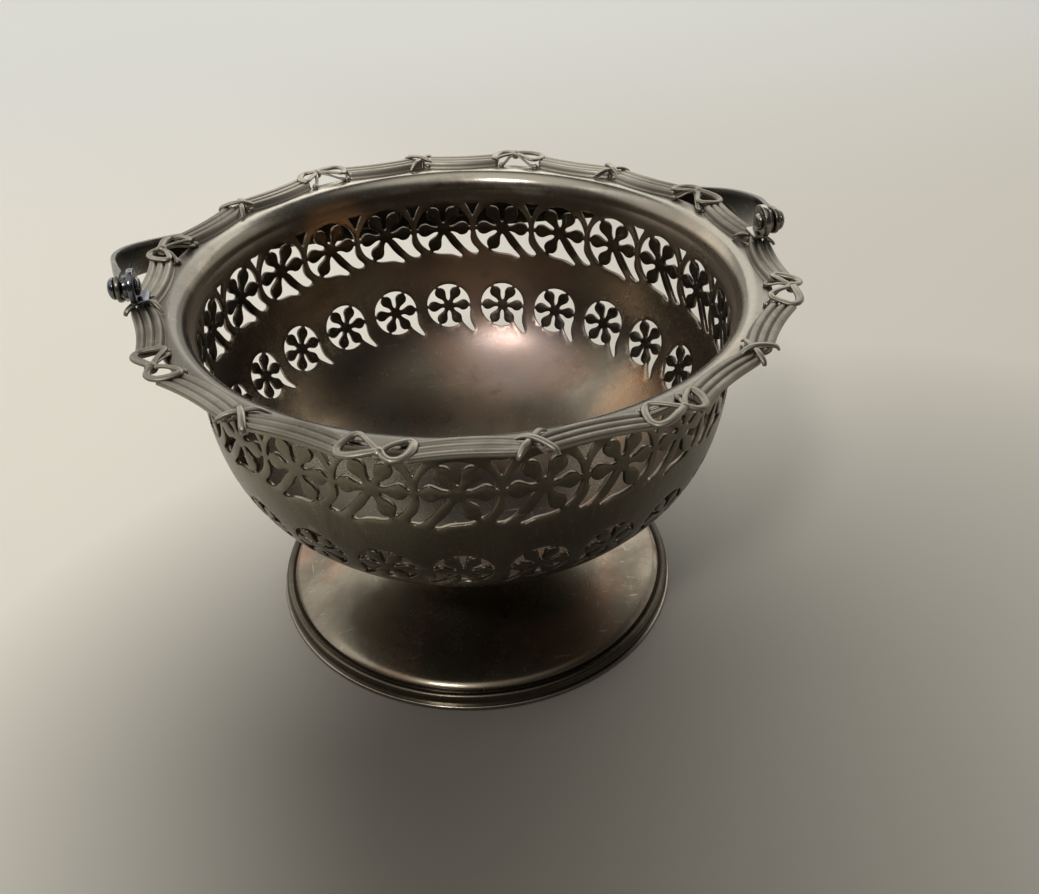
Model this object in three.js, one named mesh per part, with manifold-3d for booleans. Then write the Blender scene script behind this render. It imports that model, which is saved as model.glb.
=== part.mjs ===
// A round silver-plated basket on a spreading foot, with a pierced bowl and a swinging strap handle.
// Millimetres, +Z up. The origin is the centre of the foot on the table, +X runs along the hinge pins,
// and the handle lies folded down towards +Y.
import * as THREE from "three";
import { mergeGeometries, mergeVertices } from "three/addons/utils/BufferGeometryUtils.js";
import Module from "manifold-3d";

const wasm = await Module();
wasm.setup();

// Bowl: a raised shell with an upright wall, a rounded lip and a flat flange
const footHeight = 28;
const wallRadius = 65.7;
const bowlWall = 1.1;
const bowlBaseMargin = 0.6;
const bellyRise = 50;
const uprightRise = 7.9;
const flareRise = 2.7;
const mouthFlare = 1;
const lipRadius = 3.5;
const flangeShow = 1.1;
const borderSeat = 2.1;
const bellyPower = 2.75;

// Pierced bands: flowers of six petals, one band above the other round the wall
const motifCount = 22;
const firstMotifAngle = THREE.MathUtils.degToRad(86);
const petalCount = 6;
const upperHubDrop = 9.4;
const bandSpacing = 24.2;
const upperFlowerRadius = 8.1;
const lowerFlowerRadius = 6.7;
const spandrelHalfWidth = 2;
const spandrelTop = 8.1;
const spandrelPoint = 4;

// Border: three reeds in shallow inward arcs, bound by crossed ribbons and open bows in turn
const borderRepeats = 8;
const reedCount = 3;
const reedWidth = 1.97;
const reedHeight = 1.9;
const reedEdgeHeight = 0.9;
const runFlare = 1.5;
const runDip = 1.4;
const bowHalfLength = 7.3;
const bowHalfWidth = 3.25;
const bowShift = 2.3;
const bowHeight = 2.4;
const knotHalfLength = 1.6;
const knotHalfWidth = 2;
const knotHeight = 2.9;
const crossInnerReach = 3.4;
const crossOuterReach = 2.6;
const crossInnerWidth = 0.9;
const crossOuterWidth = 1.6;
const crossHeight = 2.4;
const crossTipReach = 3.85;
const crossNotch = 3.6;
const crossNotchHalfWidth = 2.45;
const sectionGap = 0.3;

// Foot: a spun trumpet with a thin edge, and a half-round wire that lies on the edge
const footRadius = 55.4;
const footWall = 1;
const footEdgeHeight = 1.2;
const footEdgeWidth = 3.3;
const footDomeRise = 4.6;
const neckRadius = 19.2;
const neckCollarHeight = 3;
const neckFlange = 2.2;
const wireHeight = 3.1;
const wireWidth = 2.5;
const solderGap = 0.3;

// Hinges: an upright lug with a soldered tab, a washer and a domed rivet on each side
const pinClearance = 0.3;
const lugEyeRadius = 4.15;
const lugThickness = 1.5;
const lugSetback = 1.1;
const lugTabLength = 6;
const lugTabDepth = 2.4;
const lugTabThickness = 1;
const rivetRadius = 1.5;
const rivetClearance = 0.2;
const rivetHeadRadius = 2.6;
const rivetHeadHeight = 1.7;
const rivetEndRadius = 2.1;
const rivetEndHeight = 1;
const washerRadius = 2.8;
const washerThickness = 1.3;
const hingePlay = 0.3;

// Handle: a flat strap bent to a wide arch, drawn in to a round eye at each end
const strapThickness = 1.2;
const strapWidth = 8.5;
const strapEyeRadius = 3.3;
const strapTaperLength = 14;
const eyeStraight = 3.4;
const strapBulge = 5.35;
const bulgeReach = 36;
const backClearance = 7.55;
const sidePower = 1.7;
const archPower = 2.4;
const foldAngle = THREE.MathUtils.degToRad(17);

// How far cutters run past what they cut, and how near vertices count as one
const overrun = 4;
const weldDistance = 1e-4;

// Smoothness
const bowlSegments = 2 * motifCount;
const footSegments = 44;
const bellySteps = 3;
const lipSteps = 2;
const domeSteps = 5;
const longRunSteps = 5;
const shortRunSteps = 2;
const pinSegments = 16;
const eyeSegments = 12;
const ribbonSteps = 2;
const sideSteps = 3;
const archSteps = 7;

// Heights and radii that follow from the sizes above
const bellyTop = footHeight + bellyRise;
const wallTop = bellyTop + uprightRise;
const lipCentreHeight = wallTop + flareRise;
const lipCentreRadius = wallRadius + mouthFlare + lipRadius;
const flangeHeight = lipCentreHeight + lipRadius;
const rimHeight = flangeHeight + bowlWall;
const borderInner = lipCentreRadius + flangeShow;
const flangeRadius = borderInner + borderSeat;
const borderWidth = reedCount * reedWidth;
const borderMiddle = borderInner + borderWidth / 2;
const crossTipRadius = borderMiddle + crossTipReach;
const lugSeatHeight = rimHeight + crossHeight;
const pinHeight = lugSeatHeight + lugTabThickness + rivetEndRadius + pinClearance;
const lugInnerFace = borderMiddle + lugSetback;
const lugOuterFace = lugInnerFace + lugThickness;
const strapInnerFace = lugOuterFace + washerThickness + hingePlay;
const strapOuterFace = strapInnerFace + strapThickness;
const eyeCentreline = strapInnerFace + strapThickness / 2;
const bulgeHalfWidth = eyeCentreline + strapBulge;
const handleReach = borderMiddle + backClearance;
const footTopRadius = neckRadius + neckFlange;
const bowlBaseRadius = footTopRadius + bowlBaseMargin;

// Metals: worn silver plate, darker where it has tarnished
const plate = { color: 0x9a958b, roughness: 0.34, metalness: 1 };
const tarnished = { color: 0x7d7166, roughness: 0.3, metalness: 1 };
const darkSteel = { color: 0x55565c, roughness: 0.3, metalness: 1 };

function solidFrom(geometry) {
  const bare = geometry.index ? geometry.toNonIndexed() : geometry.clone();
  bare.deleteAttribute("normal");
  bare.deleteAttribute("uv");
  const merged = mergeVertices(bare, weldDistance);
  const mesh = new wasm.Mesh({
    numProp: 3,
    vertProperties: merged.attributes.position.array,
    triVerts: new Uint32Array(merged.index.array),
    tolerance: weldDistance,
  });
  mesh.merge();
  return new wasm.Manifold(mesh);
}

function geometryFrom(solid) {
  const mesh = solid.getMesh();
  const geometry = new THREE.BufferGeometry();
  geometry.setAttribute("position", new THREE.BufferAttribute(mesh.vertProperties, 3));
  geometry.setIndex(new THREE.BufferAttribute(mesh.triVerts, 1));
  geometry.computeVertexNormals();
  return geometry;
}

function named(name, geometry, finish) {
  const mesh = new THREE.Mesh(geometry, new THREE.MeshStandardMaterial(finish));
  mesh.name = name;
  return mesh;
}

function polar(radius, angle) {
  return [radius * Math.cos(angle), radius * Math.sin(angle)];
}

function outline(points) {
  return new THREE.Shape(points.map(([x, y]) => new THREE.Vector2(x, y)));
}

function slab(shapes, low, high) {
  const depth = high - low;
  return new THREE.ExtrudeGeometry(shapes, { depth, bevelEnabled: false }).translate(0, 0, low);
}

// A profile of [radius, height] points turned about Z, with an edge line at the angle given
function turned(points, segments, edgeAngle = 0) {
  const profile = points.map(([r, h]) => new THREE.Vector2(r, h));
  return new THREE.LatheGeometry(profile, segments, edgeAngle + Math.PI / 2).rotateX(Math.PI / 2);
}

// Turns a piece drawn in x and y to face along the hinge pin: x to +Y, y to +Z and z to +X
function facingX(geometry) {
  const toY = new THREE.Vector3(0, 1, 0);
  const toZ = new THREE.Vector3(0, 0, 1);
  const toX = new THREE.Vector3(1, 0, 0);
  return geometry.applyMatrix4(new THREE.Matrix4().makeBasis(toY, toZ, toX));
}

// A line of [radius, height] points moved to its left, measured square to the line
function offsetLine(points, distance) {
  return points.map(([r, h], i) => {
    const [r0, h0] = points[Math.max(i - 1, 0)];
    const [r1, h1] = points[Math.min(i + 1, points.length - 1)];
    const before = new THREE.Vector2(r - r0, h - h0).normalize();
    const after = new THREE.Vector2(r1 - r, h1 - h).normalize();
    const along = before.clone().add(after).normalize();
    const reach = distance / Math.max(before.dot(along), after.dot(along));
    return [r - along.y * reach, h + along.x * reach];
  });
}

// Bowl

// Outer radius of the belly at a height: a superellipse that meets the flat base at its edge
function bellyRadius(height) {
  const baseDrop = (bowlBaseRadius / wallRadius) ** bellyPower;
  const fullDepth = bellyRise / (1 - baseDrop) ** (1 / bellyPower);
  const drop = Math.max(bellyTop - height, 0) / fullDepth;
  return wallRadius * (1 - drop ** bellyPower) ** (1 / bellyPower);
}

function bandPoint(hubHeight) {
  const rise = bellyRadius(hubHeight + bowlWall) - bellyRadius(hubHeight - bowlWall);
  return { radius: bellyRadius(hubHeight), height: hubHeight, lean: Math.atan2(rise, 2 * bowlWall) };
}

const upperBand = bandPoint(wallTop - upperHubDrop);
const lowerBand = bandPoint(wallTop - upperHubDrop - bandSpacing);

// Rows of the belly below the lower band, and the rows that bound the bands, as shares
const bellyRowShare = 1.6;
const bandMarginShares = { lowerFoot: 1.25, lowerTop: 1.15, upperFoot: 1.25 };

function bowlOuterLine() {
  const points = [[0, footHeight], [bowlBaseRadius, footHeight]];
  const bandFoot = lowerBand.height - bandMarginShares.lowerFoot * lowerFlowerRadius;
  for (let i = 1; i <= bellySteps; i++) {
    const height = THREE.MathUtils.lerp(footHeight, bandFoot, (i / bellySteps) ** bellyRowShare);
    points.push([bellyRadius(height), height]);
  }
  const rows = [
    lowerBand.height + bandMarginShares.lowerTop * lowerFlowerRadius,
    upperBand.height - bandMarginShares.upperFoot * upperFlowerRadius,
    wallTop,
  ];
  rows.forEach((height) => points.push([bellyRadius(height), height]));
  for (let i = 0; i <= lipSteps; i++) {
    const [across, up] = polar(lipRadius, (i / lipSteps) * (Math.PI / 2));
    points.push([lipCentreRadius - across, lipCentreHeight + up]);
  }
  points.push([flangeRadius, flangeHeight]);
  return points;
}

// Openings between two petals: a pointed stem that widens to the flower's circle, as shares
const fanRadiusShares = [0.26, 0.56, 1, 1, 0.56];
const fanAngleShares = [0, -0.15, -0.31, 0.31, 0.15];

// The openings that end in a tail, seen from inside the bowl, as shares of the flower's radius
const upperTailShares = [[0.25, -0.13], [0.62, -0.6], [1, -0.95], [1.11, -0.86], [0.91, -0.44], [0.9, -0.12]];
const upperFootShares = [
  [0, -0.3], [-0.1, -0.7], [-0.25, -1], [0.2, -1.02], [0.6, -1.14], [0.64, -0.98], [0.26, -0.72],
];
const lowerTailShares = [[0.25, -0.14], [0.5, -0.63], [0.98, -1.24], [1.15, -1.12], [0.84, -0.56]];

// The openings of one flower, drawn as seen from inside, flattened by the lean of the wall
function flowerOpenings(radius, band, tailShares) {
  const fanStep = (2 * Math.PI) / petalCount;
  const rows = tailShares.map((shares) => shares.map(([x, y]) => [x * radius, y * radius]));
  for (let i = 0; i < petalCount - tailShares.length; i++) {
    rows.push(
      fanRadiusShares.map((share, j) => polar(share * radius, (i + 1 / 2 + fanAngleShares[j]) * fanStep)),
    );
  }
  return rows.map((points) => outline(points.map(([x, y]) => [x, y * Math.cos(band.lean)])));
}

// Cuts a flat pattern through the wall on the +X side: right is towards -Y and up is +Z
function piercer(shapes, band) {
  const right = new THREE.Vector3(0, -1, 0);
  const up = new THREE.Vector3(0, 0, 1);
  const inward = new THREE.Vector3(-1, 0, 0);
  const place = new THREE.Matrix4().makeBasis(right, up, inward).setPosition(band.radius, 0, band.height);
  return slab(shapes, -overrun, overrun).applyMatrix4(place);
}

// The sector about +X of a solid whose facets end at the sector's edges, repeated all round
function repeatedSector(solid, count, firstAngle) {
  const whole = geometryFrom(solid).toNonIndexed().attributes.position;
  const kept = [];
  for (let i = 0; i < whole.count; i += 3) {
    const corners = [i, i + 1, i + 2].map((j) => new THREE.Vector3().fromBufferAttribute(whole, j));
    const middle = corners[0].clone().add(corners[1]).add(corners[2]);
    if (Math.abs(Math.atan2(middle.y, middle.x)) < Math.PI / count) kept.push(...corners);
  }
  const sector = new THREE.BufferGeometry().setFromPoints(kept);
  const copies = Array.from({ length: count }, (_, i) =>
    sector.clone().rotateZ(firstAngle + (i * 2 * Math.PI) / count),
  );
  return mergeGeometries(copies);
}

function makeBowl() {
  const outer = bowlOuterLine();
  const inner = offsetLine(outer, bowlWall).reverse();
  const spandrel = outline([
    [-spandrelHalfWidth, spandrelTop],
    [0, spandrelPoint],
    [spandrelHalfWidth, spandrelTop],
  ]);
  const step = (2 * Math.PI) / motifCount;
  const cuts = [
    piercer(flowerOpenings(upperFlowerRadius, upperBand, [upperTailShares, upperFootShares]), upperBand),
    piercer(flowerOpenings(lowerFlowerRadius, lowerBand, [lowerTailShares]), lowerBand),
    piercer([spandrel], upperBand).rotateZ(step / 2),
    piercer([spandrel], upperBand).rotateZ(-step / 2),
  ];
  let pattern = solidFrom(turned([...outer, ...inner], bowlSegments));
  cuts.forEach((cut) => {
    pattern = pattern.subtract(solidFrom(cut));
  });
  const bowl = solidFrom(repeatedSector(pattern, motifCount, firstMotifAngle));
  return named("bowl", geometryFrom(bowl), tarnished);
}

// Border: each section has a cross at azimuth 0 and a bow half a repeat on, and ends between the two

const crossStep = (2 * Math.PI) / borderRepeats;
const bowAngle = crossStep / 2;
const bowEndAngle = bowHalfLength / borderMiddle;
const runAngle = bowAngle - bowEndAngle;
const jointAngle = runAngle / 2;

// The middle line of the reeds between two azimuths: an inward arc from each cross to the next bow
class ReedRun extends THREE.Curve {
  constructor(fromAngle, toAngle) {
    super();
    this.fromAngle = fromAngle;
    this.toAngle = toAngle;
  }

  getPoint(t, target = new THREE.Vector3()) {
    const angle = THREE.MathUtils.lerp(this.fromAngle, this.toAngle, t);
    const fromCross = Math.abs(angle - crossStep * Math.round(angle / crossStep));
    const dip = runDip * (1 - (1 - (2 * fromCross) / runAngle) ** 2);
    const [x, y] = polar(borderMiddle + runFlare - dip, angle);
    return target.set(x, y, rimHeight);
  }
}

// Where each reed rises to its crown and falls from it, as shares of its width
const reedCrownShares = [0.28, 0.72];

// Section across the reeds, as the sweep takes it: x runs down from the crown and y runs inwards
function reedSection() {
  const points = [[0, borderWidth / 2]];
  for (let i = 0; i < reedCount; i++) {
    const edge = borderWidth / 2 - i * reedWidth;
    points.push([-reedEdgeHeight, edge]);
    reedCrownShares.forEach((share) => points.push([-reedHeight, edge - share * reedWidth]));
  }
  points.push([-reedEdgeHeight, -borderWidth / 2], [0, -borderWidth / 2]);
  return outline(points);
}

function reeds(fromAngle, toAngle, steps) {
  const extrudePath = new ReedRun(fromAngle, toAngle);
  return solidFrom(new THREE.ExtrudeGeometry(reedSection(), { steps, bevelEnabled: false, extrudePath }));
}

// One loop of a bow and its opening: x along the bow from the knot, y across it, as shares
const loopShares = [
  [0.1, -0.3], [0.4, -0.85], [0.75, -1], [1, -0.5], [1, 0.5], [0.75, 1], [0.4, 0.85], [0.1, 0.3],
];
const loopHoleShares = [[0.26, 0], [0.64, -0.64], [0.84, -0.3], [0.84, 0.3], [0.64, 0.64]];

// Points given along a bow or cross and outwards from the middle of the reeds, as an outline
function alongBorder(points, radius) {
  return outline(points.map(([along, outward]) => [radius + outward, along]));
}

function bowPiece(shares, side) {
  const points = shares.map(([x, y]) => [side * x * bowHalfLength, y * bowHalfWidth]);
  return alongBorder(points, borderMiddle + bowShift);
}

// The knot between the loops is an octagon whose corners are cut by this share
const knotCornerShare = 0.55;

function knotShape() {
  const corner = knotCornerShare;
  const corners = [[1, corner], [corner, 1], [-corner, 1], [-1, corner]];
  const opposite = corners.map(([x, y]) => [-x, -y]);
  const points = [...corners, ...opposite].map(([x, y]) => [x * knotHalfLength, y * knotHalfWidth]);
  return alongBorder(points, borderMiddle + bowShift / 2);
}

// One ribbon of a cross: thin on the flange, bent over the reeds, broad at the outer edge
function ribbonShape(side) {
  const from = new THREE.Vector2(borderInner + crossInnerWidth / 2, side * crossInnerReach);
  const to = new THREE.Vector2(crossTipRadius - crossOuterWidth / 2, -side * crossOuterReach);
  const bend = new THREE.Vector2(borderMiddle - reedWidth / 2, side * crossInnerWidth);
  const line = new THREE.QuadraticBezierCurve(from, bend, to);
  const left = [];
  const right = [];
  for (let i = 0; i <= ribbonSteps; i++) {
    const t = i / ribbonSteps;
    const half = THREE.MathUtils.lerp(crossInnerWidth, crossOuterWidth, t) / 2;
    const at = line.getPoint(t);
    const along = line.getTangent(t);
    left.push([at.x - along.y * half, at.y + along.x * half]);
    right.unshift([at.x + along.y * half, at.y - along.x * half]);
  }
  return outline([...left, ...right]);
}

function borderSection() {
  const atBow = (shape, top) => solidFrom(slab(shape, rimHeight, rimHeight + top).rotateZ(bowAngle));
  const cutThrough = (shape) => slab(shape, rimHeight - overrun, rimHeight + overrun);
  const endGap = sectionGap / 2 / borderMiddle;
  const notchSpread = crossNotchHalfWidth * (1 + overrun / crossNotch);
  const notch = outline([
    [crossTipRadius - crossNotch, 0],
    [crossTipRadius + overrun, -notchSpread],
    [crossTipRadius + overrun, notchSpread],
  ]);
  let section = reeds(endGap - jointAngle, runAngle, longRunSteps);
  section = section.add(reeds(crossStep - runAngle, crossStep - jointAngle - endGap, shortRunSteps));
  section = section.subtract(solidFrom(cutThrough(notch)));
  section = section.add(atBow(knotShape(), knotHeight));
  [-1, 1].forEach((side) => {
    section = section.add(atBow(bowPiece(loopShares, side), bowHeight));
    section = section.add(solidFrom(slab(ribbonShape(side), rimHeight, lugSeatHeight)));
    section = section.subtract(
      solidFrom(cutThrough(bowPiece(loopHoleShares, side)).rotateZ(bowAngle)),
    );
  });
  return section;
}

function makeBorder() {
  const geometry = geometryFrom(borderSection());
  const border = new THREE.Group();
  for (let i = 0; i < borderRepeats; i++) {
    const section = named(`rim_border_${i + 1}`, geometry, plate);
    section.rotation.z = i * crossStep;
    border.add(section);
  }
  return border;
}

// Foot

// The two middle control points of the trumpet's curve, as shares of its run inwards and its rise
const trumpetShares = [[0.55, 0.245], [0.975, 0.525]];

function makeFoot() {
  const domeRadius = footRadius - footEdgeWidth;
  const collarHeight = footHeight - neckCollarHeight;
  const controls = [[0, 0], ...trumpetShares, [1, 1]].map(
    ([inwards, up]) =>
      new THREE.Vector2(
        THREE.MathUtils.lerp(domeRadius, neckRadius, inwards),
        THREE.MathUtils.lerp(footDomeRise, collarHeight, up),
      ),
  );
  const trumpet = new THREE.CubicBezierCurve(...controls).getPoints(domeSteps).map((p) => [p.x, p.y]);
  const underside = offsetLine(trumpet, footWall).reverse();
  const line = [
    [domeRadius - footWall, 0],
    [footRadius, 0],
    [footRadius, footEdgeHeight],
    [domeRadius, footEdgeHeight],
    ...trumpet,
    [neckRadius, footHeight - footWall],
    [footTopRadius, footHeight - footWall],
    [footTopRadius, footHeight],
    [neckRadius - footWall, footHeight],
    ...underside.slice(0, -1),
    [domeRadius - footWall, footDomeRise - footWall],
    [domeRadius - footWall, 0],
  ];
  return named("foot", turned(line, footSegments), tarnished);
}

// Half-round section of the wire: across from its inner side and up, as shares
const wireShares = [[0, 0], [1, 0], [1, 0.5], [0.75, 0.9], [0.3, 1], [0, 0.7], [0, 0]];

function makeFootWire() {
  const inner = footRadius - footEdgeWidth + solderGap;
  const line = wireShares.map(([x, y]) => [inner + x * wireWidth, footEdgeHeight + y * wireHeight]);
  return named("foot_wire", turned(line, footSegments), plate);
}

// Hinges, drawn on the +X side

function makeLug() {
  const seatDrop = pinHeight - lugSeatHeight;
  const seatAngle = Math.asin(seatDrop / lugEyeRadius);
  const eye = new THREE.Shape();
  eye.absarc(0, 0, lugEyeRadius, -seatAngle, Math.PI + seatAngle);
  eye.closePath();
  const hole = new THREE.Path();
  hole.absarc(0, 0, rivetRadius + rivetClearance, 0, 2 * Math.PI);
  eye.holes.push(hole);
  const options = { depth: lugThickness, bevelEnabled: false, curveSegments: pinSegments };
  const plateSolid = facingX(new THREE.ExtrudeGeometry(eye, options)).translate(lugInnerFace, 0, pinHeight);
  const tabDepth = lugTabDepth + lugThickness;
  const tab = new THREE.BoxGeometry(tabDepth, lugTabLength, lugTabThickness);
  tab.translate(lugOuterFace - tabDepth / 2, 0, lugSeatHeight + lugTabThickness / 2);
  return geometryFrom(solidFrom(plateSolid).add(solidFrom(tab)));
}

// The rivet's head and its peened end: radius and height as shares of their own
const crownShares = [[1, 0.35], [0.8, 0.75], [0.45, 0.95], [0, 1]];
const peenShares = [[0, 1], [0.5, 1], [1, 0.5], [1, 0]];

function makeRivet() {
  const shankEnd = strapOuterFace + hingePlay;
  const line = [
    ...peenShares.map(([r, h]) => [r * rivetEndRadius, lugInnerFace - h * rivetEndHeight]),
    [rivetRadius, lugInnerFace],
    [rivetRadius, shankEnd],
    [rivetHeadRadius, shankEnd],
    ...crownShares.map(([r, h]) => [r * rivetHeadRadius, shankEnd + h * rivetHeadHeight]),
  ];
  return facingX(turned(line, pinSegments)).translate(0, 0, pinHeight);
}

function makeWasher() {
  const bore = rivetRadius + rivetClearance;
  const line = [
    [bore, lugOuterFace],
    [washerRadius, lugOuterFace],
    [washerRadius, lugOuterFace + washerThickness],
    [bore, lugOuterFace + washerThickness],
    [bore, lugOuterFace],
  ];
  return facingX(turned(line, pinSegments)).translate(0, 0, pinHeight);
}

function makeHinges() {
  const hinges = new THREE.Group();
  ["right", "left"].forEach((side, i) => {
    const hinge = new THREE.Group();
    hinge.add(named(`lug_${side}`, makeLug(), plate));
    hinge.add(named(`washer_${side}`, makeWasher(), darkSteel));
    hinge.add(named(`rivet_${side}`, makeRivet(), darkSteel));
    hinge.rotation.z = i * Math.PI;
    hinges.add(hinge);
  });
  return hinges;
}

// Handle, drawn flat: x along the pins, y away from them

// Middle line of the strap's +X half, from the end of the eye to the crown of the arch
function strapLine() {
  const points = [[eyeCentreline, -strapEyeRadius - overrun]];
  for (let i = 0; i <= sideSteps; i++) {
    const reach = THREE.MathUtils.lerp(eyeStraight, bulgeReach, i / sideSteps);
    const drawnIn = ((bulgeReach - reach) / (bulgeReach - eyeStraight)) ** sidePower;
    points.push([THREE.MathUtils.lerp(bulgeHalfWidth, eyeCentreline, drawnIn), reach]);
  }
  for (let i = 1; i <= archSteps; i++) {
    const [across, up] = polar(1, (i / archSteps) * (Math.PI / 2));
    const x = bulgeHalfWidth * Math.abs(across) ** (2 / archPower);
    points.push([x, bulgeReach + (handleReach - bulgeReach) * up ** (2 / archPower)]);
  }
  return points;
}

// Side view of the strap: a round eye at the pin that widens to the full strap
function strapSide() {
  const halfWidth = strapWidth / 2;
  const taperAngle = Math.asin((halfWidth - strapEyeRadius) / strapTaperLength);
  const side = new THREE.Shape();
  side.absarc(0, 0, strapEyeRadius, Math.PI / 2 + taperAngle, (3 * Math.PI) / 2 - taperAngle);
  side.lineTo(strapTaperLength, -halfWidth);
  side.lineTo(handleReach + overrun, -halfWidth);
  side.lineTo(handleReach + overrun, halfWidth);
  side.lineTo(strapTaperLength, halfWidth);
  side.closePath();
  const hole = new THREE.Path();
  hole.absarc(0, 0, rivetRadius + rivetClearance, 0, 2 * Math.PI);
  side.holes.push(hole);
  return side;
}

function makeHandle() {
  const half = strapLine();
  const line = [...half, ...half.slice(0, -1).reverse().map(([x, y]) => [-x, y])];
  const inner = offsetLine(line, strapThickness / 2);
  const outer = offsetLine(line, -strapThickness / 2).reverse();
  const arch = slab(outline([...inner, ...outer]), -strapWidth, strapWidth);
  const width = 2 * (bulgeHalfWidth + overrun);
  const options = { depth: width, bevelEnabled: false, curveSegments: eyeSegments };
  const side = facingX(new THREE.ExtrudeGeometry(strapSide(), options)).translate(-width / 2, 0, 0);
  const handle = named("handle", geometryFrom(solidFrom(arch).intersect(solidFrom(side))), plate);
  handle.position.z = pinHeight;
  handle.rotation.x = -foldAngle;
  return handle;
}

const basket = new THREE.Group();
basket.add(makeBowl(), makeBorder(), makeFoot(), makeFootWire(), makeHinges(), makeHandle());

export default basket;
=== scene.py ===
from math import asin, cos, dist, exp, hypot, pi, radians, sin

import bpy
from mathutils import Matrix, Vector
from mathutils.geometry import delaunay_2d_cdt


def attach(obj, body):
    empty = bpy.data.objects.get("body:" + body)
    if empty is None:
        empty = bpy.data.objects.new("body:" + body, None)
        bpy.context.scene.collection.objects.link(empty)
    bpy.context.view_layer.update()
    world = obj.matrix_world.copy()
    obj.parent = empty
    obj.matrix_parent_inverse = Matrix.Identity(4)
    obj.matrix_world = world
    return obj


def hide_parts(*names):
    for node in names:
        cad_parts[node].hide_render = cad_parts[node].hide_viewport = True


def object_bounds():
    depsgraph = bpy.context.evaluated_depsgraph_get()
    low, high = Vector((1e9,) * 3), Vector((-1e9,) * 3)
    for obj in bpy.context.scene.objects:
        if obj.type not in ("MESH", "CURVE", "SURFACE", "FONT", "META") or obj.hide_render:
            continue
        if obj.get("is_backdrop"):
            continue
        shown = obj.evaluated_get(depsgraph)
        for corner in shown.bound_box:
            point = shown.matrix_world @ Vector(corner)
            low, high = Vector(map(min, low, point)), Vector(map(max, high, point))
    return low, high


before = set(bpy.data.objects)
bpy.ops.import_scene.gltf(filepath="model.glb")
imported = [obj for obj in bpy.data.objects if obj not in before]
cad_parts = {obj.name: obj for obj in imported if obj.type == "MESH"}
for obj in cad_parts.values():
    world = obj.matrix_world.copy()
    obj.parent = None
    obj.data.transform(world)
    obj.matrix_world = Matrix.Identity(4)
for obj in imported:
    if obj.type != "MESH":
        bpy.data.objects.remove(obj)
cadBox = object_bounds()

# Sizes are written in millimetres and made into metres as each mesh is built
mm = 0.001
fullTurn = 2 * pi
print("frame loaded:", len(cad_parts), "nodes")


# Node graphs, for geometry and for materials

class Graph:
    def __init__(self, tree):
        self.tree = tree

    def node(self, kind, inputs=None, **settings):
        made = self.tree.nodes.new(kind)
        for key, value in settings.items():
            setattr(made, key, value)
        for key, value in (inputs or {}).items():
            socket = made.inputs[key]
            if isinstance(value, bpy.types.NodeSocket):
                self.tree.links.new(value, socket)
            else:
                socket.default_value = value
        return made

    # The first output of a new node
    def out(self, kind, inputs=None, **settings):
        return self.node(kind, inputs, **settings).outputs[0]

    def math(self, operation, a, b=0.0):
        return self.out("ShaderNodeMath", {0: a, 1: b}, operation=operation)

    def add(self, a, b):
        return self.math("ADD", a, b)

    def less(self, a, b):
        return self.math("SUBTRACT", a, b)

    def times(self, a, b):
        return self.math("MULTIPLY", a, b)

    def combine(self, x, y, z):
        return self.out("ShaderNodeCombineXYZ", {0: x, 1: y, 2: z})

    def split(self, vector):
        return self.node("ShaderNodeSeparateXYZ", {0: vector}).outputs

    def vectorMath(self, operation, a, b=(0, 0, 0)):
        return self.node("ShaderNodeVectorMath", {0: a, 1: b}, operation=operation).outputs["Value"]

    def ramp(self, value, low, high, start=0.0, end=1.0, kind="SMOOTHSTEP"):
        inputs = {"Value": value, "From Min": low, "From Max": high, "To Min": start, "To Max": end}
        return self.out("ShaderNodeMapRange", inputs, interpolation_type=kind)

    def mix(self, factor, a, b):
        return self.node("ShaderNodeMix", {0: factor, 6: a, 7: b}, data_type="RGBA").outputs[2]

    def mixValue(self, factor, a, b):
        return self.out("ShaderNodeMix", {0: factor, 2: a, 3: b}, data_type="FLOAT")

    # Lays a colour over the base where the mask is, by this amount
    def layer(self, base, mask, amount, colour):
        return self.mix(self.times(mask, amount), base, colour)

    def noise(self, vector, scale, detail, roughness, distortion=0.0):
        inputs = {"Vector": vector, "Scale": scale, "Detail": detail, "Roughness": roughness,
                  "Distortion": distortion}
        return self.out("ShaderNodeTexNoise", inputs)

    # Noise that is 0 up to the low level and 1 from the high level on
    def pattern(self, vector, scale, detail, roughness, distortion, low, high):
        return self.ramp(self.noise(vector, scale, detail, roughness, distortion), low, high)

    def attribute(self, name):
        return self.node("ShaderNodeAttribute", attribute_name=name).outputs["Fac"]

    # Place on the object, and how far the surface stands out (over 0.5) or lies in a corner
    def surface(self):
        coords = self.node("ShaderNodeTexCoord").outputs["Object"]
        return coords, self.node("ShaderNodeNewGeometry").outputs["Pointiness"]

    # Place and direction at a length along the curve of an object
    def along(self, source, length):
        curve = self.node("GeometryNodeObjectInfo", {"Object": source}).outputs["Geometry"]
        sample = self.node("GeometryNodeSampleCurve", {"Curves": curve, "Length": length}, mode="LENGTH",
                           use_all_curves=True)
        return self.split(sample.outputs["Position"]), self.split(sample.outputs["Tangent"])


def geometryTree(name, sizes):
    tree = bpy.data.node_groups.new(name, "GeometryNodeTree")
    kinds = {"float": "NodeSocketFloat", "int": "NodeSocketInt", "object": "NodeSocketObject",
             "material": "NodeSocketMaterial"}
    tree.interface.new_socket("Geometry", in_out="INPUT", socket_type="NodeSocketGeometry")
    for label, kind in sizes:
        tree.interface.new_socket(label, in_out="INPUT", socket_type=kinds[kind])
    tree.interface.new_socket("Geometry", in_out="OUTPUT", socket_type="NodeSocketGeometry")
    graph = Graph(tree)
    return graph, graph.node("NodeGroupInput").outputs


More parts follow.
